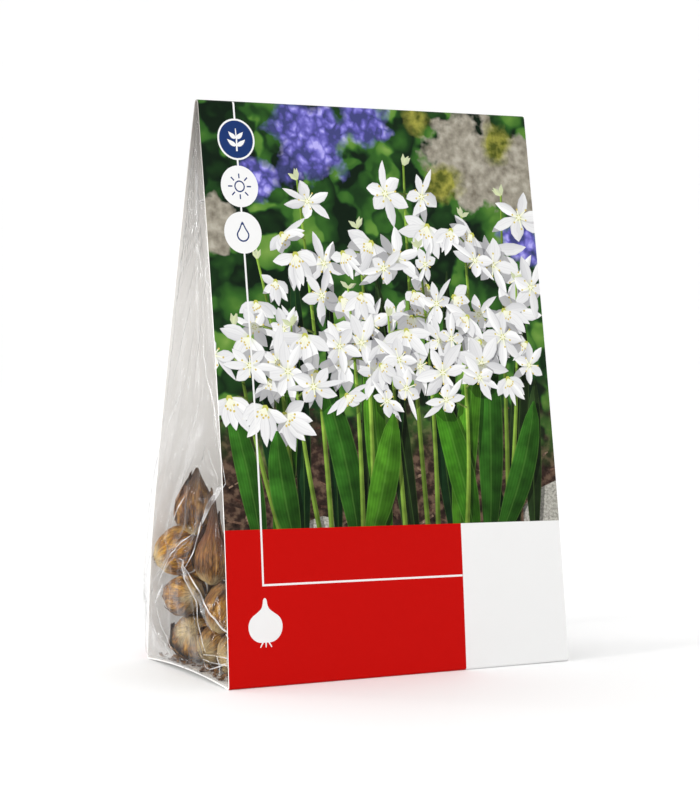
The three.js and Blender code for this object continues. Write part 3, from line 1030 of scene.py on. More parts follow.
def buildCard(printed, board):
    base = Sheet(lambda x, y: (x, y))
    base.block(rectangle(-90, -2, 90, netLength + 2), inks["bare"])
    drawn = base.shapes + drawBack().shapes + drawFront().shapes
    shapes = [shape for shape in drawn if isSimple(shape["outline"])]
    rows = netRows()
    wallRows = [r for r in rows if frontFoot + netGrid["tilesFrom"] < r < knots[3]]
    picks = np.linspace(0, len(wallRows) - 1, netGrid["tiles"]).round().astype(int)
    borders = [rows[0], *[wallRows[k] for k in sorted(set(picks))], knots[4], rows[-1]]
    places, faces, owners = partition(shapes, rows, borders, (rows, rows))
    colours, at, kinds = cardInks(places, faces, owners, shapes)
    print("print:", len(shapes), "of", len(drawn), "shapes,", len(faces), "triangles")

    def edgeOf(points, side):
        on = [i for i, p in enumerate(points) if abs(p[0] - side * halfWidth) < 1e-3]
        return sorted(on, key=lambda i: points[i][1])

    left, right = edgeOf(places, -1), edgeOf(places, 1)
    ends = [[places[i][1] for i in side] for side in (left, right)]
    innerPlaces, innerFaces, _ = partition([], rows, [rows[0], rows[-1]], ends)
    innerLeft, innerRight = edgeOf(innerPlaces, -1), edgeOf(innerPlaces, 1)
    shift = len(places)
    outside = foldNet(places[:, 0], places[:, 1], 0)
    inside = foldNet(innerPlaces[:, 0], innerPlaces[:, 1], cardShape["thickness"])
    allFaces = [list(f) for f in faces]
    allFaces += [[i + shift for i in reversed(f)] for f in innerFaces]
    for outer, inner, side in ((left, innerLeft, -1), (right, innerRight, 1)):
        assert len(outer) == len(inner)
        for k in range(len(outer) - 1):
            a, b, c, d = outer[k], outer[k + 1], inner[k + 1] + shift, inner[k] + shift
            allFaces += [[a, b, c], [a, c, d]] if side < 0 else [[a, c, b], [a, d, c]]
    card = makePiece("cardSleeve", np.vstack([outside, inside]) * mm, allFaces, [printed, board])
    mesh = card.data
    normals = np.vstack([netNormals(places), -netNormals(innerPlaces)])
    strips = len(allFaces) - len(faces) - len(innerFaces)
    corners = normals[np.array(allFaces)]
    flat = np.zeros((len(allFaces), 3), np.float32)
    mesh.polygons.foreach_get("normal", flat.ravel())
    corners[-strips:] = flat[-strips:, None, :]
    extra = len(allFaces) - len(faces)

    def padded(values, width):
        values = np.asarray(values, np.float32).reshape(-1, width)
        return np.concatenate([values, np.zeros((extra * 3, width))])

    setAttribute(mesh, "inkColour", "FLOAT_COLOR", "CORNER", padded(colours, 4))
    setAttribute(mesh, "inkPlace", "FLOAT_VECTOR", "CORNER", padded(at, 3))
    setAttribute(mesh, "inkKind", "FLOAT", "CORNER", padded(kinds, 1))
    net = np.vstack([places, innerPlaces])
    setAttribute(mesh, "netPlace", "FLOAT_VECTOR", "POINT", np.c_[net, np.zeros(len(net))] * mm)
    mesh.polygons.foreach_set("material_index", [0] * len(faces) + [1] * extra)
    # Doubled corners are joined, and the sleeve's own normals kept, so that no cut of the print shows.
    setAttribute(mesh, "skinNormal", "FLOAT_VECTOR", "CORNER", corners)
    merge = bmesh.new()
    merge.from_mesh(mesh)
    bmesh.ops.remove_doubles(merge, verts=merge.verts, dist=joinWithin)
    merge.to_mesh(mesh)
    merge.free()
    kept = np.zeros(len(mesh.loops) * 3, np.float32)
    mesh.attributes["skinNormal"].data.foreach_get("vector", kept)
    mesh.normals_split_custom_set(kept.reshape(-1, 3).tolist())
    mesh.attributes.remove(mesh.attributes["skinNormal"])
    return card


gardenDrifts = {
    # across, along the net, size, all in metres
    "violet": (
        (-0.03, 0.27, 0.021), (-0.002, 0.279, 0.014), (-0.058, 0.252, 0.011), (0.074, 0.226, 0.012),
    ),
    "stone": ((0.05, 0.262, 0.024), (0.078, 0.256, 0.02), (-0.079, 0.232, 0.012)),
    "moss": ((0.036, 0.252, 0.012), (0.066, 0.272, 0.01), (0.024, 0.28, 0.008)),
}


gardenRamps = {
    # place and colour of each stop
    "leaves": (
        (0.26, (0.004, 0.012, 0.005)), (0.38, (0.012, 0.045, 0.01)), (0.5, (0.035, 0.12, 0.018)),
        (0.62, (0.1, 0.23, 0.035)), (0.74, (0.2, 0.34, 0.07)),
    ),
    "violet": (
        (0.08, (0.05, 0.055, 0.18)), (0.26, (0.11, 0.1, 0.4)), (0.42, (0.22, 0.2, 0.62)),
        (0.58, (0.42, 0.39, 0.8)),
    ),
    "stone": ((0.36, (0.17, 0.15, 0.115)), (0.5, (0.3, 0.275, 0.22)), (0.64, (0.44, 0.41, 0.34))),
    "moss": ((0.4, (0.07, 0.085, 0.012)), (0.6, (0.34, 0.33, 0.06))),
    "soil": ((0.3, (0.008, 0.005, 0.004)), (0.48, (0.035, 0.02, 0.015)), (0.62, (0.12, 0.075, 0.05))),
}
soilFade = (0.098, 0.066)  # metres above the band: where the soil starts to show, and where it is full


def gardenColour(add, net, band):
    # The garden out of focus: leaves in patches, stones with moss, violet blossom above and soil below.
    def blur(scale, detail):
        return add("ShaderNodeTexNoise", {"Vector": net, "Scale": scale, "Detail": detail})

    def patches(scale, warp, smoothness):
        # Soft-edged patches, each with a tone of its own, and how far a point is from its patch's middle.
        at = vectorMath(add, "ADD", net, wandering(add, blur(scale * 0.8, 2.0).outputs["Color"], warp))
        values = {"Vector": at, "Scale": scale, "Smoothness": smoothness}
        cells = add("ShaderNodeTexVoronoi", values, feature="SMOOTH_F1")
        tone = add("ShaderNodeSeparateColor", {0: cells.outputs["Color"]}).outputs[0]
        return tone, cells.outputs["Distance"]

    wide = blur(34.0, 2.0).outputs["Fac"]
    middling = blur(85.0, 3.0).outputs["Fac"]
    fine = blur(240.0, 3.0).outputs["Fac"]
    leafTone, leafAway = patches(92.0, 0.02, 0.35)
    mixed = timesPlus(add, leafTone, 0.42, times(add, wide, 0.5))
    mixed = timesPlus(add, leafAway, -0.22, calc(add, "ADD", mixed, 0.08))
    picture = ramp(add, mixed, gardenRamps["leaves"])
    floretTone, floretAway = patches(250.0, 0.006, 0.45)
    florets = timesPlus(add, floretTone, 0.3, timesPlus(add, floretAway, -0.7, middling))
    rough = timesPlus(add, fine, 0.6, times(add, middling, 0.4))
    for name, mask, soft in (("stone", rough, 0.82), ("moss", rough, 0.45), ("violet", florets, 0.6)):
        ink = ramp(add, mask, gardenRamps[name])
        for u, s, size in gardenDrifts[name]:
            ends = {0: net, 1: (u, s, 0.0)}
            away = add("ShaderNodeVectorMath", ends, operation="DISTANCE").outputs["Value"]
            ragged = timesPlus(add, calc(add, "SUBTRACT", middling, 0.5), size * 1.9, away)
            picture = mixColour(add, mapRange(add, ragged, size, size * soft), picture, ink)
    height = timesPlus(add, wide, 0.08, parts(add, net)["Y"])
    soilMask = mapRange(add, height, band + soilFade[0], band + soilFade[1])
    return mixColour(add, soilMask, picture, ramp(add, fine, gardenRamps["soil"]))


printLooks = {
    "roughness": 0.42,
    "specular": 0.06,
    "bump": (0.06, 0.0003),  # strength, and depth in metres
    "bumpGrain": 700.0,
    "speckGrain": 900.0,
    "petalVeins": 16.0,  # radians of ripple across half a petal, and across half a leaf
    "leafVeins": 26.0,
    "petalShade": (0.5, 0.5, 0.6, 1),
    "petalFoot": (0.55, 0.6, 0.3, 1),
    "petalTip": (0.78, 0.74, 0.5, 1),
    "midrib": (0.13, 0.27, 0.05, 1),
    "leafRim": (0.25, 0.42, 0.1, 1),
}


def petalColour(add, colour, along, across, tone):
    # A faint fold down the middle, fine veins, soft lilac shade to one side and yellow-green at the foot.
    looks = printLooks
    fromMiddle = calc(add, "ABSOLUTE", across)
    veins = timesPlus(add, calc(add, "SINE", times(add, across, looks["petalVeins"])), 0.02, 0.98)
    lean = times(add, across, calc(add, "SUBTRACT", tone, 0.55))
    side = mapRange(add, lean, -0.4, 0.15, 0.74, 1.0)
    fold = mapRange(add, fromMiddle, 0.0, 0.12, 0.93, 1.0)
    rim = mapRange(add, fromMiddle, 0.78, 1.0, 1.0, 0.86)
    light = mapRange(add, tone, 0.2, 0.7, 0.8, 1.0)
    shade = times(add, times(add, times(add, fold, veins), times(add, side, light)), rim)
    dim = mapRange(add, shade, 0.6, 1.0, 0.2, 0.0)
    petal = mixColour(add, dim, shaded(add, colour, shade), looks["petalShade"])
    petal = mixColour(add, mapRange(add, along, 0.04, 0.26, 0.55, 0.0), petal, looks["petalFoot"])
    return mixColour(add, mapRange(add, along, 0.93, 1.0, 0.0, 0.35), petal, looks["petalTip"])


def leafColour(add, net, colour, along, across, tone):
    # Parallel veins, a pale midrib, one half darker, and a gloss that drifts along the blade.
    looks = printLooks
    fromMiddle = calc(add, "ABSOLUTE", across)
    wobble = add("ShaderNodeTexNoise", {"Vector": net, "Scale": 120.0, "Detail": 2.0}).outputs["Fac"]
    lines = calc(add, "SINE", timesPlus(add, across, looks["leafVeins"], times(add, wobble, 4.0)))
    half = mapRange(add, across, -0.3, 0.3, 0.62, 1.2)
    drift = mapRange(add, wobble, 0.3, 0.7, 0.62, 1.42)
    rounding = mapRange(add, along, 0.0, 0.5, 0.45, 1.0)
    shade = times(add, timesPlus(add, lines, 0.11, 1.0), times(add, half, drift))
    shade = times(add, shade, times(add, mapRange(add, tone, 0.0, 1.0, 0.4, 1.5), rounding))
    leaf = shaded(add, colour, shade)
    leaf = mixColour(add, mapRange(add, fromMiddle, 0.0, 0.1, 0.22, 0.0), leaf, looks["midrib"])
    return mixColour(add, mapRange(add, fromMiddle, 0.9, 1.0, 0.0, 0.14), leaf, looks["leafRim"])


def printedMaterial():
    looks = printLooks
    add, show = newMaterial("printedCard")
    colour = attribute(add, "inkColour", "Color")
    kind = attribute(add, "inkKind")
    along, across, tone = parts(add, attribute(add, "inkPlace", "Vector"))
    net = attribute(add, "netPlace", "Vector")

    def isKind(number):
        return calc(add, "COMPARE", kind, number, 0.4)

    speck = mapRange(add, grain(add, net, looks["speckGrain"], 3.0), 0.3, 0.7, 0.5, 1.5)
    picture = mixColour(add, isKind(petalInk), colour, petalColour(add, colour, along, across, tone))
    picture = mixColour(add, isKind(leafInk), picture, leafColour(add, net, colour, along, across, tone))
    garden = gardenColour(add, net, (frontFoot + frontPrint["bandRight"]) * mm)
    picture = mixColour(add, isKind(gardenInk), picture, garden)
    rough = calc(add, "MAXIMUM", isKind(stoneInk), isKind(chipInk))
    picture = mixColour(add, rough, picture, shaded(add, colour, speck))
    return show(add("ShaderNodeBsdfPrincipled", {
        "Base Color": picture,
        "Roughness": looks["roughness"],
        "Specular IOR Level": looks["specular"],
        "Normal": bumped(add, grain(add, net, looks["bumpGrain"], 3.0), *looks["bump"]),
    }))


boardLooks = {
    "ramp": ((0.25, (0.81, 0.793, 0.765)), (0.75, (0.875, 0.86, 0.837))),
    # Painted shade: the board darkens towards the top fold, where little light reaches the narrow wedge,
    # over these distances from it in metres.
    "dusk": (0.012, 0.085),
    "duskRamp": ((0.0, (0.36, 0.345, 0.33)), (0.45, (0.8, 0.79, 0.78)), (1.0, (1, 1, 1))),
    # painted light: the bare board glows a little, so that the inside of the sleeve looks lit
    "glow": 0.065,
    "glowTint": (1, 0.985, 0.965, 1),
    "grain": 420.0,
    "bump": (0.15, 0.0002),
    "roughness": 0.72,
}


def boardMaterial():
    looks = boardLooks
    add, show = newMaterial("bareBoard")
    net = attribute(add, "netPlace", "Vector")
    fibres = grain(add, net, looks["grain"], 5.0)
    # Painted shade: the board is darker towards the top fold, on its colour and on its glow.
    run = calc(add, "SUBTRACT", parts(add, net)["Y"], (knots[3] + ridgeArc / 2) * mm)
    away = mapRange(add, calc(add, "ABSOLUTE", run), *looks["dusk"])
    dusk = ramp(add, away, looks["duskRamp"])
    return show(add("ShaderNodeBsdfPrincipled", {
        "Base Color": mixColour(add, 1.0, ramp(add, fibres, looks["ramp"]), dusk, "MULTIPLY"),
        "Roughness": looks["roughness"],
        # Painted light: the board's glow, weaker near the fold.
        "Emission Color": mixColour(add, 1.0, dusk, looks["glowTint"], "MULTIPLY"),
        "Emission Strength": looks["glow"],
        "Normal": bumped(add, fibres, *looks["bump"]),
    }))


def ringsOf(node):
    # Recovers a bulb's outline from its CAD node: the middle and the radius of each ring, foot to tip.
    work = bmesh.new()
    work.from_mesh(node.data)
    bmesh.ops.remove_doubles(work, verts=work.verts, dist=joinWithin)
    pole = max(work.verts, key=lambda v: len(v.link_edges))
    rings = []
    seen, edge = {pole}, [pole]
    while edge:
        following = {e.other_vert(v) for v in edge for e in v.link_edges} - seen
        seen |= following
        edge = sorted(following, key=lambda v: v.index)
        if len(edge) > 1:
            middle = sum((v.co for v in edge), Vector()) / len(edge)
            rings.append((middle, sum((v.co - middle).length for v in edge) / len(edge)))
    if rings[0][1] < rings[-1][1]:
        rings.reverse()
    work.free()
    return rings


bulbDetail = {
    "around": 112,
    "along": 84,
    "closer": 0.06,  # how far the rings draw towards the bulb's ends
    # share of the radius, and how often it repeats around and along the bulb
    "lump": (0.05, 1.1, 2.2),
    "facet": (0.035, 2.3, 1.3),
    "pleat": (0.02, 7, 1.2),
    "fine": (0.35, 19, 3),  # times the pleats
    "neck": 2.2,  # how much deeper the pleats get at the tip
    # the torn layers' outline, its finer raggedness, and that one's share
    "torn": ((2.2, 2.6), (9, 7), 0.25),
    "outer": (22, 1.6),  # how steep each layer's edge is, and where it lies
    "inner": (26, -6),
    "layer": 0.34,  # millimetres, the step at a torn edge
    "plate": 0.35,  # how far the basal plate is sunk
    "seed": 12,
}
bulbLooks = {
    # number: how golden, how red, how dark
    1: (0.45, 0.05, 0.0),
    2: (0.4, 0.2, 0.3),
    3: (0.5, 0.1, 0.2),
    4: (0.4, 0.2, 0.2),
    5: (0.3, 0.3, 0.2),
    6: (0.2, 0.3, 0.7),
    7: (0.7, 0.1, 0.0),
    8: (0.95, 0.1, 0.1),
    9: (0.5, 0.2, 0.2),
    10: (1.0, 0.1, 0.0),
    11: (0.3, 0.8, 0.05),
    12: (0.65, 0.1, 0.15),
}


def buildBulb(name, node, material, look, rng):
    # A bulb on the CAD's outline, lumpy and pleated, with the torn layers of its skin as steps.
    d = bulbDetail
    rings = ringsOf(node)
    foot, tip = rings[0][0], rings[-1][0]
    axis = (tip - foot).normalized()
    heights = np.array([(middle - foot).dot(axis) for middle, _ in rings])
    radii = np.array([radius for _, radius in rings])
    around, along = d["around"], d["along"]
    t = np.linspace(0, 1, along)
    t = t - d["closer"] * np.sin(2 * math.pi * t)
    h = t * heights[-1]
    radius = smoothed(np.interp(h, heights, radii), 3)
    side = axis.orthogonal().normalized()
    other = axis.cross(side)
    offset = randomPlace(rng, 50)
    biggest = radii.max()
    (lumpDeep, *lump), (facetDeep, *facet), (pleatDeep, *pleat) = d["lump"], d["facet"], d["pleat"]
    fineShare, *fine = d["fine"]
    torn, ragged, raggedShare = d["torn"]
    (outerSteep, outerAt), (innerSteep, innerAt) = d["outer"], d["inner"]
    vertices, layers, places = [], [], []
    for j in range(along):
        rise = min(1.0, t[j] / 0.25) * (0.4 + 0.6 * min(1.0, radius[j] / biggest))
        neck = max(0.0, (t[j] - 0.5) / 0.5)
        for i in range(around):
            angle = 2 * math.pi * i / around
            c, s = math.cos(angle), math.sin(angle)

            def pattern(often, where=offset):
                return noiseAt(where, c * often[0], s * often[0], t[j] * often[1])

            swell = lumpDeep * pattern(lump) - facetDeep * abs(pattern(facet, offset * 0.7))
            folds = 0.5 - abs(pattern(pleat)) + fineShare * pattern(fine)
            swell += pleatDeep * folds * (1 + d["neck"] * neck)
            flake = pattern(torn, offset * 1.7) + raggedShare * pattern(ragged)
            outer = min(max(flake * outerSteep + outerAt, 0), 1)
            inner = min(max(flake * innerSteep + innerAt, 0), 1)
            r = radius[j] * (1 + swell * rise)
            r += (outer + inner - 1) * d["layer"] * mm * min(1, radius[j] / biggest)
            vertices.append(foot + axis * h[j] + (side * c + other * s) * r)
            layers.append((outer + inner) / 2)
            places.append((c, s, t[j]))
    faces = gridFaces(along, around, closed=True)
    bottom, top = len(vertices), len(vertices) + 1
    vertices += [foot + axis * d["plate"] * mm, tip]
    layers += [0, 1]
    places += [(0, 0, 0), (0, 0, 1)]
    last = (along - 1) * around
    for i in range(around):
        k = (i + 1) % around
        faces += [(bottom, k, i), (top, last + i, last + k)]
    bulb = makePiece(name, vertices, faces, [material])
    apart = rng.random()
    paintSkin(bulb.data, layers, places, look, apart)
    shape = {"foot": foot, "axis": axis, "side": side, "other": other, "heights": h, "radii": radius}
    return bulb, {**shape, "look": look}


def paintSkin(mesh, layers, places, looks, aparts):
    # looks and aparts are one value for the whole piece, or one for each of its points.
    count = len(mesh.vertices)
    setAttribute(mesh, "skinLayer", "FLOAT", "POINT", layers)
    setAttribute(mesh, "skinPlace", "FLOAT_VECTOR", "POINT", places)
    setAttribute(mesh, "skinLook", "FLOAT_VECTOR", "POINT", np.broadcast_to(looks, (count, 3)))
    setAttribute(mesh, "skinApart", "FLOAT", "POINT", np.broadcast_to(aparts, count))


tunicSetup = {
    "flakes": (3, 3, 4, 9, 9, 9, 2, 3, 5, 0, 2, 3),  # loose flakes of dry skin round each bulb
    "backBulbs": (4, 5, 6),  # those behind the first row, whose flakes stand off further
    "backCurl": (1.5, 6.0),
    "steps": (16, 12),
    "middle": (0.3, 0.62),  # how high on the bulb, as a share of its height
    "wide": (0.5, 1.1),  # half the width, in radians round the bulb
    "tall": (0.18, 0.36),  # half the height, as a share of the bulb's
    "ragged": (0.3, 2.6),  # how deep the torn edges' waves are, and how often they repeat
    "stand": 0.55,  # millimetres off the bulb, and more at the curled edge
    "curl": (0.6, 2.6),
    "wave": (0.35, 3),
    "thickness": 0.14,
    "clear": 1.7,  # millimetres kept from the card's outside
    "gold": (0.1, 0.8),  # times the bulb's
    "red": 0.5,  # these two at most, where the bulb's are less
    "dark": 0.55,
    "seed": 33,
}


def insideCard(place, clear):
    # A place kept a little inside the card.
    x, y, z = place / mm
    z = max(z, clear + liftAt(x, y))
    front, back = wallAt(-1, x, z, clear), wallAt(1, x, z, clear)
    return x * mm, min(max(y, front), back) * mm, z * mm


def buildTunics(material, shapes):
    # Loose flakes of papery skin that have come away from the bulbs and fill the gaps between them.
    s = tunicSetup
    rng = random.Random(s["seed"])
    vertices, faces, layers, places, looks, aparts = [], [], [], [], [], []
    across, up = s["steps"]
    (ragged, tears), (waveDeep, waves) = s["ragged"], s["wave"]

    def addFlake(shape, curlRange):
        middle, height = rng.uniform(0, 2 * math.pi), rng.uniform(*s["middle"])
        wide, half, curl = rng.uniform(*s["wide"]), rng.uniform(*s["tall"]), rng.uniform(*curlRange)
        offset = randomPlace(rng, 50, 2)
        gold, red, dark = shape["look"]
        gold *= rng.uniform(*s["gold"])
        look = (gold, max(red, rng.uniform(0, s["red"])), max(dark, rng.uniform(0, s["dark"])))
        for j in range(up):
            v = 2 * j / (up - 1) - 1
            for i in range(across):
                u = 2 * i / (across - 1) - 1
                tornU = 1 + ragged * noiseAt(offset, v * tears, 3 if u < 0 else 9, 0)
                tornV = 1 + ragged * noiseAt(offset, u * tears, 5 if v < 0 else 7, 4)
                angle, t = middle + u * wide * tornU, min(max(height + v * half * tornV, 0.03), 0.97)
                edge = max(abs(u), abs(v)) ** 3 * (0.5 + noiseAt(offset, u, v, 6))
                wave = waveDeep * noiseAt(offset, u * waves, v * waves, 2)
                h = t * shape["heights"][-1]
                r = np.interp(h, shape["heights"], shape["radii"])
                r += (s["stand"] + curl * max(edge, 0) + wave) * mm
                c, n = math.cos(angle), math.sin(angle)
                place = shape["foot"] + shape["axis"] * h + (shape["side"] * c + shape["other"] * n) * r
                vertices.append(insideCard(place, s["clear"]))
                layers.append(1.0 - 0.5 * max(abs(u), abs(v)) ** 8)
                places.append((c, n, t))
        looks.extend([look] * (across * up))
        aparts.extend([rng.random()] * (across * up))

    for number, shape in enumerate(shapes, 1):
        for _ in range(s["flakes"][number - 1]):
            faces += gridFaces(up, across, len(vertices))
            addFlake(shape, s["backCurl"] if number in s["backBulbs"] else s["curl"])
    tunics = makePiece("looseTunics", vertices, faces, [material])
    paintSkin(tunics.data, layers, places, looks, aparts)
    addWall(tunics, "skinWall", s["thickness"], 1)
    return tunics


def inputsOf(tree, modifier, values):
    # Sets a modifier's inputs by their names, through the sockets' identifiers.
    for item in tree.interface.items_tree:
        if item.in_out == "INPUT" and item.name in values:
            modifier[item.identifier] = values[item.name]


def plainMesh(carrier, name):
    # What the carrier's nodes make, as a mesh of its own.
    evaluated = carrier.evaluated_get(bpy.context.evaluated_depsgraph_get())
    mesh = bpy.data.meshes.new_from_object(evaluated)
    mesh.name = name
    piece = bpy.data.objects.new(name, mesh)
    bpy.context.collection.objects.link(piece)
    bpy.data.objects.remove(carrier)
    return piece


scrapSetup = {
    "patch": (-80, -50, -35, 35),  # where they lie: x from and to, y from and to, in millimetres
    "height": 1.9,
    "perSquareMetre": 90000.0,
    "long": 3.6,
    "wide": 2.0,
    "curl": 0.7,
    "wander": 0.9,
    "scales": (0.3, 1.2),
    "turn": (0.6, 0.6, 6.28),  # radians: tipped to each side, and turned round
    "seed": 6,
}
rootSetup = {
    "perSquareMetre": 900000.0,
    "plate": 0.26,  # the basal plate's radius, as a share of the bulb's
    "plateHeight": 0.4,
    "corners": 10,
    "long": 1.1,
    "wide": 0.11,
    "curl": 0.0,
    "wander": 1.1,
    "scales": (0.4, 1.2),
    "turn": (0.9, 0.9, 6.28),
    "seed": 14,
}
strewnSkin = {
    "pattern": (120, 120, 0),  # how often the skin's patterns repeat, per metre
    "along": 0.42,  # as if this far up a bulb
    "layer": 0.8,
    "look": (0.35, 0.25, 0.35),
    "apart": 0.4,
}


def treeWith(name, inputs):
    tree = bpy.data.node_groups.new(name, "GeometryNodeTree")
    tree.interface.new_socket("Geometry", in_out="INPUT", socket_type="NodeSocketGeometry")
    for label, kind in inputs:
        tree.interface.new_socket(label, in_out="INPUT", socket_type="NodeSocket" + kind)
    tree.interface.new_socket("Geometry", in_out="OUTPUT", socket_type="NodeSocketGeometry")
    add = nodeMaker(tree)
    return tree, add, add("NodeGroupInput").outputs, add("NodeGroupOutput")


strewnInputs = (
    ("Density", "Float"), ("Seed", "Int"), ("Smallest", "Float"), ("Largest", "Float"),
    ("Wander", "Float"), ("Long", "Float"), ("Wide", "Float"), ("Curl", "Float"),
    ("Material", "Material"),
)


def strewn(tree, add, given, result, piece, turn):
    # Copies of a small piece on random points of the given surface, ending as one mesh in one material.
    surface = {"Mesh": given["Geometry"], "Density": given["Density"], "Seed": given["Seed"]}
    points = add("GeometryNodeDistributePointsOnFaces", surface).outputs
    limits = {2: given["Smallest"], 3: given["Largest"], "Seed": given["Seed"]}
    size = add("FunctionNodeRandomValue", limits, data_type="FLOAT").outputs[1]
    limits = {0: (-turn[0], -turn[1], 0), 1: turn, "Seed": given["Seed"]}
    turning = add("FunctionNodeRandomValue", limits, data_type="FLOAT_VECTOR").outputs[0]
    values = {"Rotation": points["Rotation"], "Rotate By": turning}
    rotation = add("FunctionNodeRotateRotation", values, rotation_space="LOCAL").outputs[0]
    values = {"Points": points["Points"], "Instance": piece, "Rotation": rotation, "Scale": size}
    placed = add("GeometryNodeInstanceOnPoints", values).outputs["Instances"]
    whole = add("GeometryNodeRealizeInstances", {"Geometry": placed}).outputs[0]
    wander = add("ShaderNodeTexNoise", {"Scale": 420.0, "Detail": 1.0}).outputs["Color"]
    values = {"Geometry": whole, "Offset": wandering(add, wander, given["Wander"])}
    bent = add("GeometryNodeSetPosition", values).outputs[0]
    made = add("GeometryNodeSetMaterial", {"Geometry": bent, "Material": given["Material"]}).outputs[0]
    tree.links.new(made, result.inputs["Geometry"])
    return tree


def scrapTree():
    # A curled flake of skin, strewn flat.
    tree, add, given, result = treeWith("strewnScraps", strewnInputs)
    values = {"Size X": given["Long"], "Size Y": given["Wide"], "Vertices X": 6, "Vertices Y": 4}
    flake = add("GeometryNodeMeshGrid", values).outputs["Mesh"]
    place = add("GeometryNodeInputPosition").outputs[0]
    share = calc(add, "DIVIDE", parts(add, place)["X"], given["Long"])
    rise = times(add, times(add, share, share), times(add, given["Curl"], 4.0))
    lift = add("ShaderNodeCombineXYZ", {"Z": rise}).outputs[0]
    curled = add("GeometryNodeSetPosition", {"Geometry": flake, "Offset": lift}).outputs[0]
    return strewn(tree, add, given, result, curled, scrapSetup["turn"])


def rootTree():
    # A short dry root, standing on a bulb's basal plate.
    tree, add, given, result = treeWith("driedRoots", strewnInputs)
    top = add("ShaderNodeCombineXYZ", {"Z": given["Long"]}).outputs[0]
    line = add("GeometryNodeCurvePrimitiveLine", {"End": top}).outputs[0]
    fine = add("GeometryNodeResampleCurve", {"Curve": line, "Count": 6}).outputs[0]
    ring = add("GeometryNodeCurvePrimitiveCircle", {"Resolution": 5, "Radius": given["Wide"]}).outputs[0]
    values = {"Curve": fine, "Profile Curve": ring, "Fill Caps": True}
    root = add("GeometryNodeCurveToMesh", values).outputs[0]
    return strewn(tree, add, given, result, root, rootSetup["turn"])


def buildStrewn(name, carrier, tree, setup, material):
    maker = carrier.modifiers.new("maker", "NODES")
    maker.node_group = tree
    lengths = {label: setup[label.lower()] * mm for label in ("Wander", "Long", "Wide", "Curl")}
    inputsOf(tree, maker, {
        "Density": setup["perSquareMetre"],
        "Seed": setup["seed"],
        "Smallest": setup["scales"][0],
        "Largest": setup["scales"][1],
        "Material": material,
        **lengths,
    })
    piece = plainMesh(carrier, name)
    look = strewnSkin
    at = np.zeros(len(piece.data.vertices) * 3)
    piece.data.vertices.foreach_get("co", at)
    places = at.reshape(-1, 3) * look["pattern"] + (0, 0, look["along"])
    paintSkin(piece.data, [look["layer"]] * len(places), places, look["look"], look["apart"])
    return piece


def buildScraps(material):
    s = scrapSetup
    left, right, front, back = s["patch"]
    corners = [(x, y, s["height"] + float(liftAt(x, y))) for x, y in rectangle(left, front, right, back)]
    patch = makePiece("scrapPatch", np.array(corners) * mm, [(0, 1, 2, 3)])
    scraps = buildStrewn("looseScraps", patch, scrapTree(), s, material)
    addWall(scraps, "scrapWall", tunicSetup["thickness"])
    return scraps


def buildRoots(material, shapes):
    s = rootSetup
    vertices, faces = [], []
    for shape in shapes:
        radius = max(shape["radii"]) * s["plate"]
        faces.append(tuple(range(len(vertices), len(vertices) + s["corners"])))
        for k in range(s["corners"]):
            angle = -2 * math.pi * k / s["corners"]
            out = shape["side"] * math.cos(angle) + shape["other"] * math.sin(angle)
            vertices.append(shape["foot"] + shape["axis"] * s["plateHeight"] * mm + out * radius)
    plates = makePiece("rootPlates", vertices, faces)
    return buildStrewn("bulbRoots", plates, rootTree(), s, material)


skinLooks = {
    "brown": (
        (0.4, (0.02, 0.007, 0.0015)), (0.47, (0.1, 0.04, 0.008)), (0.53, (0.25, 0.115, 0.024)),
        (0.6, (0.52, 0.28, 0.08)),
    ),
    "golden": (
        (0.4, (0.03, 0.008, 0.0005)), (0.47, (0.16, 0.053, 0.002)), (0.53, (0.38, 0.15, 0.005)),
        (0.6, (0.66, 0.35, 0.03)),
    ),
    "red": (0.2, 0.06, 0.022, 1),
    "cream": (0.72, 0.55, 0.27, 1),  # round the basal plate
    "tip": (0.085, 0.055, 0.04, 1),  # dry and dark
    "dark": (0.045, 0.03, 0.024, 1),
    "torn": (0.05, 0.022, 0.01, 1),
    # how often each pattern repeats: across, across and along the bulb
    "fibres": (9.0, 9.0, 1.6),
    "blotches": (1.4, 1.4, 2.0),
    "wrinkles": (3.4, 3.4, 6.5),
    "threads": (2.2, 2.2, 1.0),  # times the fibres
    "specular": 0.3,
    "bump": (0.8, 0.0009),
}


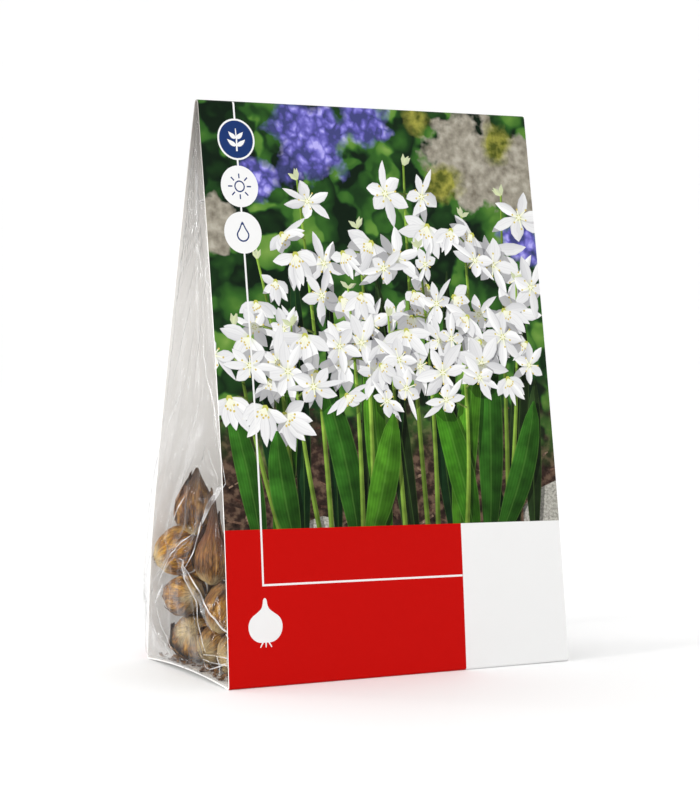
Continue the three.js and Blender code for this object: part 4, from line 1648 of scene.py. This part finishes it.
def skinMaterial():
    looks = skinLooks
    add, show = newMaterial("driedSkin")
    place = attribute(add, "skinPlace", "Vector")
    layer = attribute(add, "skinLayer")
    gold, red, dark = parts(add, attribute(add, "skinLook", "Vector"))
    along = parts(add, place)["Z"]
    apart = times(add, attribute(add, "skinApart"), 37.0)
    moved = add("ShaderNodeCombineXYZ", {0: apart, 1: apart, 2: apart}).outputs[0]

    def patternPlace(name):
        return vectorMath(add, "ADD", vectorMath(add, "MULTIPLY", place, looks[name]), moved)

    fibrePlace = patternPlace("fibres")
    fibres = grain(add, fibrePlace, 3.0, 6.0)
    blotch = grain(add, patternPlace("blotches"), 1.7, 6.0)
    mixed = timesPlus(add, fibres, 0.42, times(add, blotch, 0.6))
    under = times(add, calc(add, "SUBTRACT", 1.0, layer), 0.55)
    brown, golden = (ramp(add, mixed, looks[name]) for name in ("brown", "golden"))
    skin = mixColour(add, calc(add, "MAXIMUM", gold, under), brown, golden)
    skin = mixColour(add, times(add, red, mapRange(add, along, 0.2, 0.55, 0.1, 0.9)), skin, looks["red"])
    creamMask = mapRange(add, timesPlus(add, blotch, 0.3, along), 0.3, 0.17)
    skin = mixColour(add, times(add, creamMask, 0.8), skin, looks["cream"])
    tipMask = mapRange(add, timesPlus(add, blotch, -0.2, along), 0.45, 0.75, 0.0, 0.75)
    skin = mixColour(add, tipMask, skin, looks["tip"])
    skin = mixColour(add, times(add, dark, 0.75), skin, looks["dark"])
    # A thin dark line along each torn edge of the outer skin.
    fromEdge = calc(add, "ABSOLUTE", calc(add, "SUBTRACT", layer, 0.25))
    skin = mixColour(add, mapRange(add, fromEdge, 0.0, 0.14, 0.6, 0.0), skin, looks["torn"])
    threadPlace = vectorMath(add, "MULTIPLY", fibrePlace, looks["threads"])
    threads = mapRange(add, grain(add, threadPlace, 4.0, 3.0), 0.38, 0.5, 0.4, 1.05)
    wrinkles = grain(add, patternPlace("wrinkles"), 2.4, 5.0)
    # Partly the skin's own mottling, partly painted shade in the creases: darker where the wrinkles' bump
    # sinks.
    shade = times(add, threads, mapRange(add, wrinkles, 0.38, 0.56, 0.55, 1.15))
    return show(add("ShaderNodeBsdfPrincipled", {
        "Base Color": shaded(add, skin, shade),
        "Roughness": mapRange(add, fibres, 0.3, 0.7, 0.34, 0.6),
        "Specular IOR Level": looks["specular"],
        "Normal": bumped(add, timesPlus(add, fibres, 0.55, times(add, wrinkles, 0.6)), *looks["bump"]),
    }))


filmSetup = {
    # lengths in millimetres
    "seat": 0.9,  # from the card's outside: the card and the gap
    "corner": 4,
    "inset": 0.3,
    "bulge": 5.6,
    "bulgeHeight": 45,
    "bulgeSpread": 55,
    "heapEdgeShare": 0.75,  # share of the bulge at the heap's rear corner
    "foot": 3,  # the rounding between the floor and the walls
    "footSteps": 8,
    "top": 235.5,
    "endSteps": {-1: 112, 1: 52},
    "wallSteps": 8,
    "cornerSteps": 6,
    "fineTo": 112,  # height up to which the levels lie close together
    "fineStep": 0.78,
    "coarseStep": 2.2,
    "thickness": 0.12,
    # the dip beside a ridge: how far off and how wide, in the ridge's widths, and its share of the height
    "dip": (2.3, 1.2, 0.5),
    "crumple": (0.25, 1.0),  # the depth of the crumpling high up and low down
    "crumpleFade": (60, 125),
    # crumples and pulls: depth, and how often they repeat across and up the wall
    "wide": (1.7, 0.05, 0.035),
    "narrow": (0.8, 0.13, 0.08),
    "pull": (1.3, 17, 0.012),
    "finePull": (0.4, 52, 0.02),
    "fanFrom": (-20, 200),  # the place (y, z) that the long pulls in the film fan out from
    "fanLeast": 12,
    "fadeTop": 25,  # the relief fades out over this below the bag's top
    "bulbGap": 0.35,
    "bulbsTo": 110,  # the heap lies below this
    "outside": 120,  # a place left or right of the whole pack
    "seed": 5,
}
leftRidges = [
    # height and width of the ridge in millimetres, and its line (y, z) on the end wall
    (1.5, 2.6, [(-11, 88), (-6, 84), (-2, 77), (3, 70), (7, 63), (9, 56)]),
    (1.4, 2.4, [(-9, 61), (-2, 55), (9, 46), (16, 40), (22, 35)]),
    (1.8, 3.0, [(-32, 81), (-27, 77), (-23, 71), (-21, 64), (-17, 56), (-13, 47)]),
    (1.6, 2.2, [(-4, 50), (-8, 50), (-11, 47), (-14, 42), (-17, 35), (-19, 27), (-22, 21), (-28, 9)]),
    (1.4, 2.0, [(-13, 44), (-17, 41), (-23, 37), (-28, 32), (-32, 27), (-36, 24), (-40, 22)]),
    (1.1, 2.4, [(30, 23), (28, 19), (20, 14), (13, 10), (5, 7), (-8, 5), (-22, 4)]),
    (0.8, 1.2, [(-26, 17), (-31, 9), (-34, 3.5)]),
    (0.9, 1.2, [(-36, 15), (-31.5, 8.5), (-26, 4)]),
    (1.0, 1.6, [(-19, 94), (-20, 92), (-22, 87), (-27, 82)]),
]
rightRidges = [
    (1.3, 2.4, [(-24, 84), (-12, 62), (4, 40), (26, 22)]),
    (1.3, 2.2, [(28, 66), (15, 48), (-6, 30), (-30, 12)]),
    (1.0, 2.0, [(2, 150), (-3, 118), (6, 88)]),
    (0.8, 1.8, [(9, 170), (5, 140), (12, 110)]),
]
leftFolds = [
    # Where the film is folded on itself: half the band's width at its start, middle and end, how milky
    # and bright its rims and its middle are (the doubled film's milkiness and a painted highlight), and
    # its line (y, z) on the end wall.
    ((1.8, 0.9, 0.2), 0.75, 0.4, [(-30, 82), (-27, 77), (-24, 71), (-22, 65)]),
    ((0.2, 0.2, 0.12), 1.0, 0.9, [(-22, 67), (-21, 61), (-19, 55), (-14, 47)]),
    ((0.15, 0.3, 0.12), 0.9, 0.6, [(-37, 84), (-34, 81), (-30, 80), (-25, 82)]),
    ((0.1, 0.22, 0.18), 0.85, 0.5, [(-26, 112), (-28, 105), (-30, 98), (-33, 93), (-37, 83)]),
    ((0.1, 0.16, 0.12), 0.7, 0.4, [(-21, 96), (-24, 90), (-28, 82)]),
    ((0.9, 1.7, 0.6), 0.3, 0.03, [(-14, 60), (-3, 54), (8, 46), (15, 40), (19, 36)]),
    ((0.12, 0.2, 0.12), 0.9, 0.7, [(-17, 62), (-7, 57), (3, 50), (12, 42), (18, 35)]),
    (
        (0.15, 0.2, 0.12), 0.85, 0.7,
        [(-7, 50), (-11, 50), (-14, 45), (-17, 38), (-21, 29), (-24, 22), (-29, 14)],
    ),
    ((0.25, 0.24, 0.3), 1.0, 0.8, [(-11, 50), (-16, 45), (-23, 38), (-29, 31), (-35, 25), (-41, 21)]),
    ((0.5, 1.6, 0.4), 0.12, 0.14, [(-12, 49), (-18, 39), (-25, 29), (-31, 22)]),
    ((0.35, 0.2, 0.12), 1.0, 0.8, [(-41, 21), (-36, 24), (-30, 30)]),
    ((0.1, 0.2, 0.1), 0.9, 0.7, [(-28, 13), (-35, 13), (-41, 12)]),
    ((0.1, 0.16, 0.1), 0.8, 0.6, [(-27, 11), (-34, 10), (-42, 9)]),
    ((0.1, 0.24, 0.1), 0.9, 0.7, [(-31, 7), (-37, 10), (-41, 13)]),
    ((0.1, 0.18, 0.1), 0.8, 0.6, [(-34, 13), (-35, 9), (-35, 5)]),
    ((0.1, 0.16, 0.1), 0.9, 0.7, [(-26, 9), (-29, 7), (-32, 8)]),
    ((0.1, 0.16, 0.1), 0.8, 0.6, [(-39, 15), (-40, 11), (-39, 8)]),
    ((0.15, 0.3, 0.12), 0.5, 0.3, [(24, 27), (27, 21), (23, 16), (15, 12), (8, 9), (0, 7)]),
    ((0.1, 0.2, 0.1), 0.6, 0.4, [(21, 26), (19, 20), (13, 15), (7, 11), (2, 8)]),
    ((0.3, 0.6, 0.3), 0.5, 0.2, [(35, 2.6), (18, 3.4), (0, 4), (-18, 3.2), (-32, 2.2), (-42, 2)]),
    ((0.12, 0.3, 0.12), 0.7, 0.5, [(-8, 79), (-1, 71), (5, 61)]),
    ((0.2, 0.6, 0.2), 0.8, 0.6, [(13, 37), (17, 33), (22, 27)]),
    ((0.15, 0.25, 0.15), 0.55, 0.4, [(-3, 200), (-6, 197), (-8, 200), (-10, 197)]),
    ((0.12, 0.3, 0.12), 0.5, 0.4, [(-4, 181), (-8, 172), (-10, 163)]),
    ((0.12, 0.35, 0.2), 0.7, 0.25, [(-15, 174), (-12, 171), (-12, 167), (-15, 163)]),
    ((0.1, 0.28, 0.25), 0.85, 0.6, [(-12, 145), (-13, 134), (-17, 126), (-21, 118), (-25, 107)]),
    ((0.12, 0.2, 0.12), 0.5, 0.3, [(-10, 160), (-12, 153), (-12, 146)]),
    ((0.15, 0.6, 0.2), 0.3, 0.12, [(-11, 116), (-7, 106), (-3, 96)]),
    ((0.15, 0.5, 0.2), 0.25, 0.1, [(3, 124), (12, 113), (23, 100)]),
    ((0.4, 0.8, 0.4), 0.3, 0.06, [(38, 18), (36, 38), (32, 56), (28, 70)]),
]
rightFolds = [
    ((0.6, 1.6, 0.5), 0.6, 0.14, [(-24, 84), (-12, 62), (4, 40), (26, 22)]),
    ((0.5, 1.3, 0.4), 0.6, 0.12, [(28, 66), (15, 48), (-6, 30), (-30, 12)]),
    ((0.2, 0.5, 0.2), 0.5, 0.2, [(2, 150), (-3, 118), (6, 88)]),
    ((0.3, 0.6, 0.3), 0.6, 0.2, [(-33, 20), (-20, 9), (0, 6), (22, 8)]),
    ((0.2, 0.4, 0.2), 0.5, 0.3, [(10, 176), (6, 140), (12, 108)]),
    ((0.4, 0.7, 0.4), 0.5, 0.25, [(-35, 2.6), (0, 3.4), (35, 2.6)]),
]
filmSheenVeils = [
    # Soft hazes on the left end, partly the film's own milkiness and partly painted reflection: half the
    # width, how strong, and the line (y, z).
    (3.0, 0.13, [(-13, 105), (-7, 98), (-2, 88), (3, 78), (7, 69), (11, 60)]),
    (3.5, 0.05, [(0, 103), (9, 88), (19, 74), (29, 62)]),
    (4.0, 0.1, [(19, 104), (27, 82), (33, 65), (36, 51)]),
    (4.0, 0.18, [(34, 55), (36, 43), (38, 31), (38, 19), (36, 8)]),
    (4.5, 0.22, [(35, 22), (32, 13), (25, 7), (12, 5)]),
    (1.1, 0.14, [(-10, 195), (-13, 165), (-18, 140)]),
    (0.9, 0.12, [(-2, 208), (-3, 180), (-5, 150), (-9, 120)]),
    (2.5, 0.08, [(6, 150), (12, 110), (18, 90)]),
    (3.0, 0.1, [(2, 34), (-8, 22), (-16, 10)]),
]
foldSteps = {
    "along": 0.9,  # millimetres between a band's cross sections
    "across": (-1, -0.78, -0.66, 0, 0.66, 0.78, 1),
    "rimFrom": 0.7,  # share of half the width
    "stand": 0.22,  # millimetres off the film at its rims, and higher along its middle
    "crown": 0.5,
    "taper": 0.14,  # share of its length that each end narrows over
    # a band's painted highlight: how often it comes and goes per millimetre, its middle, its reach and
    # the least
    "glint": (0.17, 0.68, 1.1, 0.22),
    "thickness": 0.088,
}


def filmReach(end, z, v):
    # How far the bag reaches at an end, -1 or 1, at height z. v is -1 at the front and 1 at the back.
    f = filmSetup
    bulge = f["bulge"] * np.exp(-(((z - f["bulgeHeight"]) / f["bulgeSpread"]) ** 2))
    edgeShare = f["heapEdgeShare"] if end < 0 < v else 0
    return halfWidthAt(z) - f["inset"] + bulge * (1 - (1 - edgeShare) * v**4)


def filmLoop(z, pull):
    # One level of the bag, pulled in towards its foot: rows of x, y, which end (0 on a long side) and how
    # free the film is there.
    f = filmSetup
    inset = f["seat"] + pull
    room = wallAt(1, 0, z, inset) - wallAt(-1, 0, z, inset)
    radius = min(max(f["corner"] - pull, 0.4), room * 0.45)
    turns = np.linspace(0, math.pi / 2, f["cornerSteps"] + 1)
    rows = []
    for end in (1, -1):
        first, second = -end, end
        inners = [end * (filmReach(end, z, side) - pull - radius) for side in (first, second)]
        start, stop = (wallAt(side, inner, z, inset) for side, inner in zip((first, second), inners))
        low, high = start - first * radius, stop - second * radius
        for a in turns:
            x = inners[0] + end * radius * math.sin(a)
            rows.append((x, low + first * radius * math.cos(a), end, math.sin(a)))
        steps = f["endSteps"][end]
        for i in range(1, steps):
            reach = filmReach(end, z, lerp(first, second, i / steps)) - pull
            rows.append((end * reach, lerp(low, high, i / steps), end, 1))
        for a in turns:
            x = inners[1] + end * radius * math.cos(a)
            rows.append((x, high + second * radius * math.sin(a), end, math.cos(a)))
        last = -end * (filmReach(-end, z, second) - pull - radius)
        for i in range(1, f["wallSteps"]):
            x = lerp(inners[1], last, i / f["wallSteps"])
            rows.append((x, wallAt(second, x, z, inset), 0, 0))
    return np.array(rows)


def ridgeField(points, ridges):
    # Creases: a sharp ridge with a soft dip on its left.
    off, spread, share = filmSetup["dip"]
    rise = np.zeros(len(points))
    for height, width, line in ridges:
        distance, _, side = nearestOn(points, np.array(line, float))
        dip = np.where(side > 0, np.exp(-(((distance - off * width) / (spread * width)) ** 2)), 0)
        rise += height * (np.exp(-distance / width) - share * dip)
    return rise


def crumpleField(points, offset):
    # Long pulls that fan out from under the fold, and crossing crumples near the heap.
    f = filmSetup
    low, high = f["crumpleFade"]
    fanY, fanZ = f["fanFrom"]
    out = np.zeros(len(points))
    for k, (y, z) in enumerate(points.tolist()):
        turn = (y - fanY) / max(fanZ - z, f["fanLeast"])

        def folds(name, across, layer):
            depth, often, up = f[name]
            return depth * abs(noiseAt(offset, across * often, z * up, layer))

        share = min(max((high - z) / (high - low), 0), 1)
        crumple = lerp(*f["crumple"], share) * (folds("wide", y, 1) + folds("narrow", y, 5) - 0.5)
        out[k] = crumple + folds("pull", turn, 3) + folds("finePull", turn, 6)
    return out


def sheenVeilField(points, veils):
    haze = np.zeros(len(points))
    for half, strength, line in veils:
        distance = nearestOn(points, np.array(line, float))[0]
        haze = np.maximum(haze, strength * np.exp(-((distance / half) ** 2)))
    return haze


def foldBands(folds, end, surface):
    # Flat bands of doubled film that lie on the bag, with bright rims and a clearer middle: the doubled
    # film's milkiness with painted highlights that come and go along each band.
    f = foldSteps
    often, bright, reach, least = f["glint"]
    vertices, faces, milkAndSheen = [], [], []
    across = f["across"]
    for number, (halves, rim, middle, line) in enumerate(folds):
        line = np.array(line, float)
        runs = np.r_[0, np.cumsum(np.hypot(*np.diff(line, axis=0).T))]
        count = max(6, int(runs[-1] / f["along"]))
        at = np.linspace(0, runs[-1], count)
        smooth = smoothed(np.stack([np.interp(at, runs, line[:, i]) for i in (0, 1)], 1), 6)
        along = np.gradient(smooth, axis=0)
        along /= np.linalg.norm(along, axis=1)[:, None]
        sideways = np.stack([-along[:, 1], along[:, 0]], 1)
        share = at / runs[-1]
        half = np.interp(share, (0, 0.5, 1), halves)
        half *= np.clip(np.minimum(share, 1 - share) / f["taper"], 0.05, 1) ** 0.7
        quads = gridFaces(count, len(across), len(vertices))
        faces += quads if end > 0 else [quad[::-1] for quad in quads]
        for j in range(count):
            # Painted highlight along the band, coming and going.
            glint = noise.noise(Vector((at[j] * often, number * 3.7, end)))
            shine = min(max(bright + reach * glint, least), 1)
            for t in across:
                y, z = smooth[j] + sideways[j] * t * half[j]
                start = Vector((end * filmSetup["outside"] * mm, y * mm, z * mm))
                hit = surface.ray_cast(start, Vector((-end, 0, 0)))[0]
                x = hit.x / mm if hit is not None else end * halfWidth
                crown = f["crown"] * (1 - t * t) * min(half[j], 1)
                vertices.append((x + end * (f["stand"] + crown), y, z))
                milkAndSheen.append(shine * (rim if abs(t) > f["rimFrom"] else middle))
    return vertices, faces, milkAndSheen


def buildFolds(material, film):
    surface = BVHTree.FromObject(film, bpy.context.evaluated_depsgraph_get())
    vertices, faces, milkAndSheen = foldBands(leftFolds, -1, surface)
    moreVertices, moreFaces, moreMilkAndSheen = foldBands(rightFolds, 1, surface)
    faces += [tuple(i + len(vertices) for i in face) for face in moreFaces]
    folds = makePiece("filmFolds", np.array(vertices + moreVertices) * mm, faces, [material])
    setAttribute(folds.data, "foldMilk", "FLOAT", "POINT", milkAndSheen + moreMilkAndSheen)
    addWall(folds, "foldWall", foldSteps["thickness"])
    return folds


def fillFloor(mesh, sides):
    # Closes the bag's foot, whose loop is the mesh's first points, and turns every face outward.
    work = bmesh.new()
    work.from_mesh(mesh)
    work.verts.ensure_lookup_table()
    loop = [e for e in work.edges if e.is_boundary and max(v.index for v in e.verts) < sides]
    filled = bmesh.ops.holes_fill(work, edges=loop, sides=0)
    bmesh.ops.triangulate(work, faces=filled["faces"])
    bmesh.ops.recalc_face_normals(work, faces=work.faces)
    work.to_mesh(mesh)
    work.free()
    mesh.shade_smooth()


def buildFilm(material, inside):
    # The bag, level by level from its rounded foot, with its relief on both ends.
    f = filmSetup
    wallFrom = f["seat"] + f["foot"]
    rows = [
        (f["seat"] + f["foot"] * (1 - math.cos(a)), f["foot"] * (1 - math.sin(a)))
        for a in np.linspace(0, math.pi / 2, f["footSteps"] + 1)
    ]
    rows += [(z, 0) for z in np.arange(wallFrom + f["fineStep"], f["fineTo"], f["fineStep"])]
    rows += [(z, 0) for z in np.arange(rows[-1][0] + f["coarseStep"], f["top"], f["coarseStep"])]
    rings = [filmLoop(z, pull) for z, pull in rows]
    sides = len(rings[0])
    x, y, end, free = np.vstack(rings).T
    z = np.repeat([row[0] for row in rows], sides)
    fade = np.clip((z - f["seat"]) / f["foot"], 0, 1) * np.clip((f["top"] - z) / f["fadeTop"], 0, 1)
    rng = random.Random(f["seed"])
    milkAndSheen = np.zeros(len(x))
    for which, ridges in ((-1, leftRidges), (1, rightRidges)):
        on = np.flatnonzero(end == which)
        points = np.stack([y[on], z[on]], 1)
        rise = ridgeField(points, ridges) + crumpleField(points, randomPlace(rng, 40))
        x[on] += which * rise * free[on] * fade[on]
        # Soft bands of the film's milkiness and of painted reflection on each end.
        milkAndSheen[on] = sheenVeilField(points, filmSheenVeils) * free[on]
    lift = liftAt(x, y) * liftShareAt(z)
    # Where the film would cut a bulb, it is pushed out to lie on it.
    for k in np.flatnonzero((end == -1) & (z < f["bulbsTo"])):
        start = Vector((-f["outside"] * mm, y[k] * mm, (z[k] + lift[k]) * mm))
        hit = inside.ray_cast(start, Vector((1, 0, 0)))[0]
        if hit is not None:
            x[k] = min(x[k], hit.x / mm - f["bulbGap"])
    faces = gridFaces(len(rows), sides, closed=True)
    film = makePiece("filmBag", np.stack([x, y, z + lift], 1) * mm, faces, [material])
    setAttribute(film.data, "foldMilk", "FLOAT", "POINT", milkAndSheen)
    fillFloor(film.data, sides)
    addWall(film, "filmWall", f["thickness"])
    return film


filmLooks = {
    "mirror": (5.0, 0.36, 0.009),  # power of the angle of view, share at its rim, share head-on
    "tint": ((0.0, (0.995, 0.995, 0.995)), (0.8, (0.98, 0.98, 0.98)), (1.0, (0.8, 0.8, 0.8))),
    "gloss": 0.1,  # the mirror's roughness
    "haze": 0.62,
    "hazeRoughness": 0.3,
    # painted highlight: the milky white glows a little
    "glow": 0.06,
    "streaks": (1.0, 1.0, 0.12),  # stretched up the wall
    "streakGrain": 260.0,
    "bump": (0.12, 0.0005),
}


def filmMaterial():
    # Mirror and clear film mixed by the angle of view, the same from both faces of the wall.
    looks = filmLooks
    add, show = newMaterial("clearFilm")
    place = add("ShaderNodeTexCoord").outputs["Object"]
    streaks = grain(add, vectorMath(add, "MULTIPLY", place, looks["streaks"]), looks["streakGrain"], 3.0)
    bent = bumped(add, streaks, *looks["bump"])
    grazing = add("ShaderNodeLayerWeight", {"Blend": 0.5}).outputs["Facing"]
    power, rim, least = looks["mirror"]
    mirror = timesPlus(add, calc(add, "POWER", grazing, power), rim, least)
    clear = add("ShaderNodeBsdfTransparent", {"Color": ramp(add, grazing, looks["tint"])}).outputs[0]
    values = {"Color": (1, 1, 1, 1), "Roughness": looks["gloss"], "Normal": bent}
    gloss = add("ShaderNodeBsdfAnisotropic", values).outputs[0]
    film = add("ShaderNodeMixShader", {0: mirror, 1: clear, 2: gloss}).outputs[0]
    # The film's own milkiness with painted reflections and highlights, mixed in as white.
    milkAndSheen = times(add, attribute(add, "foldMilk"), mapRange(add, streaks, 0.3, 0.7, 0.55, 1.15))
    white = add("ShaderNodeBsdfPrincipled", {
        "Base Color": (0.92, 0.92, 0.92, 1),
        "Roughness": looks["hazeRoughness"],
        "Emission Color": (1, 1, 1, 1),
        "Emission Strength": looks["glow"],
        "Normal": bent,
    }).outputs[0]
    return show(add("ShaderNodeMixShader", {0: times(add, milkAndSheen, looks["haze"]), 1: film, 2: white}))


stageShape = {
    "flat": 2.2,  # metres from the middle to where the floor starts to rise
    "rise": 1.6,
    "turns": 96,
    "curve": 16,  # steps up the rim
    "roughness": 0.7,
    "glow": 0.12,
    "dim": (0.09, 0.4),  # painted shade round the pack: the floor glows less near it, from and to, in metres
    "dimRamp": ((0.0, (0.3, 0.3, 0.3)), (1.0, (1, 1, 1))),
}


def buildStage():
    # A pale sweep: a round floor whose rim curves up into a wall.
    shape = stageShape
    add, show = newMaterial("paleSweep")
    place = add("ShaderNodeTexCoord").outputs["Object"]
    away = add("ShaderNodeVectorMath", {0: place}, operation="LENGTH").outputs["Value"]
    material = show(add("ShaderNodeBsdfPrincipled", {
        "Base Color": (0.93, 0.93, 0.93, 1),
        "Roughness": shape["roughness"],
        # Painted shade round the pack: the floor's glow fades near it.
        "Emission Color": ramp(add, mapRange(add, away, *shape["dim"]), shape["dimRamp"]),
        "Emission Strength": shape["glow"],
    }))
    flat, rise, turns = (shape[k] for k in ("flat", "rise", "turns"))
    profile = [
        (flat + rise * math.sin(a), rise * (1 - math.cos(a)))
        for a in np.linspace(0, math.pi / 2, shape["curve"] + 1)
    ]
    vertices = [
        (radius * math.cos(angle), radius * math.sin(angle), z)
        for radius, z in profile
        for angle in (2 * math.pi * k / turns for k in range(turns))
    ]
    faces = [(a, d, c, b) for a, b, c, d in gridFaces(len(profile), turns, closed=True)]
    faces.append(tuple(range(turns)))
    makePiece("sweep", vertices, faces, [material])


addCamera(cameraSetup)
addLights(studio)
addWorld(studio["world"])
buildStage()
bpy.context.scene.view_settings.view_transform = "Standard"
bpy.context.scene.cycles.transparent_max_bounces = studio["clearBounces"]
print("stage ready")

card = buildCard(printedMaterial(), boardMaterial())
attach(card, "root")
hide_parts("card_sleeve")
print("card ready")

skin = skinMaterial()
bulbRandom = random.Random(bulbDetail["seed"])
heap = bmesh.new()
bulbShapes = []
for number in range(1, 13):
    nodeName = f"bulb_{number:02d}"
    node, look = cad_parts[nodeName], bulbLooks[number]
    bulb, shape = buildBulb(f"bulb{number:02d}", node, skin, look, bulbRandom)
    bulbShapes.append(shape)
    heap.from_mesh(bulb.data)
    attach(bulb, "root")
    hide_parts(nodeName)
tunics = buildTunics(skin, bulbShapes)
heap.from_mesh(tunics.data)
for piece in (tunics, buildScraps(skin), buildRoots(skin, bulbShapes)):
    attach(piece, "root")
print("bulbs ready")

heapTree = BVHTree.FromBMesh(heap)
heap.free()
clearFilm = filmMaterial()
film = buildFilm(clearFilm, heapTree)
folds = buildFolds(clearFilm, film)
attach(film, "root")
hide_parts("film_bag")
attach(folds, "root")
print("film ready")
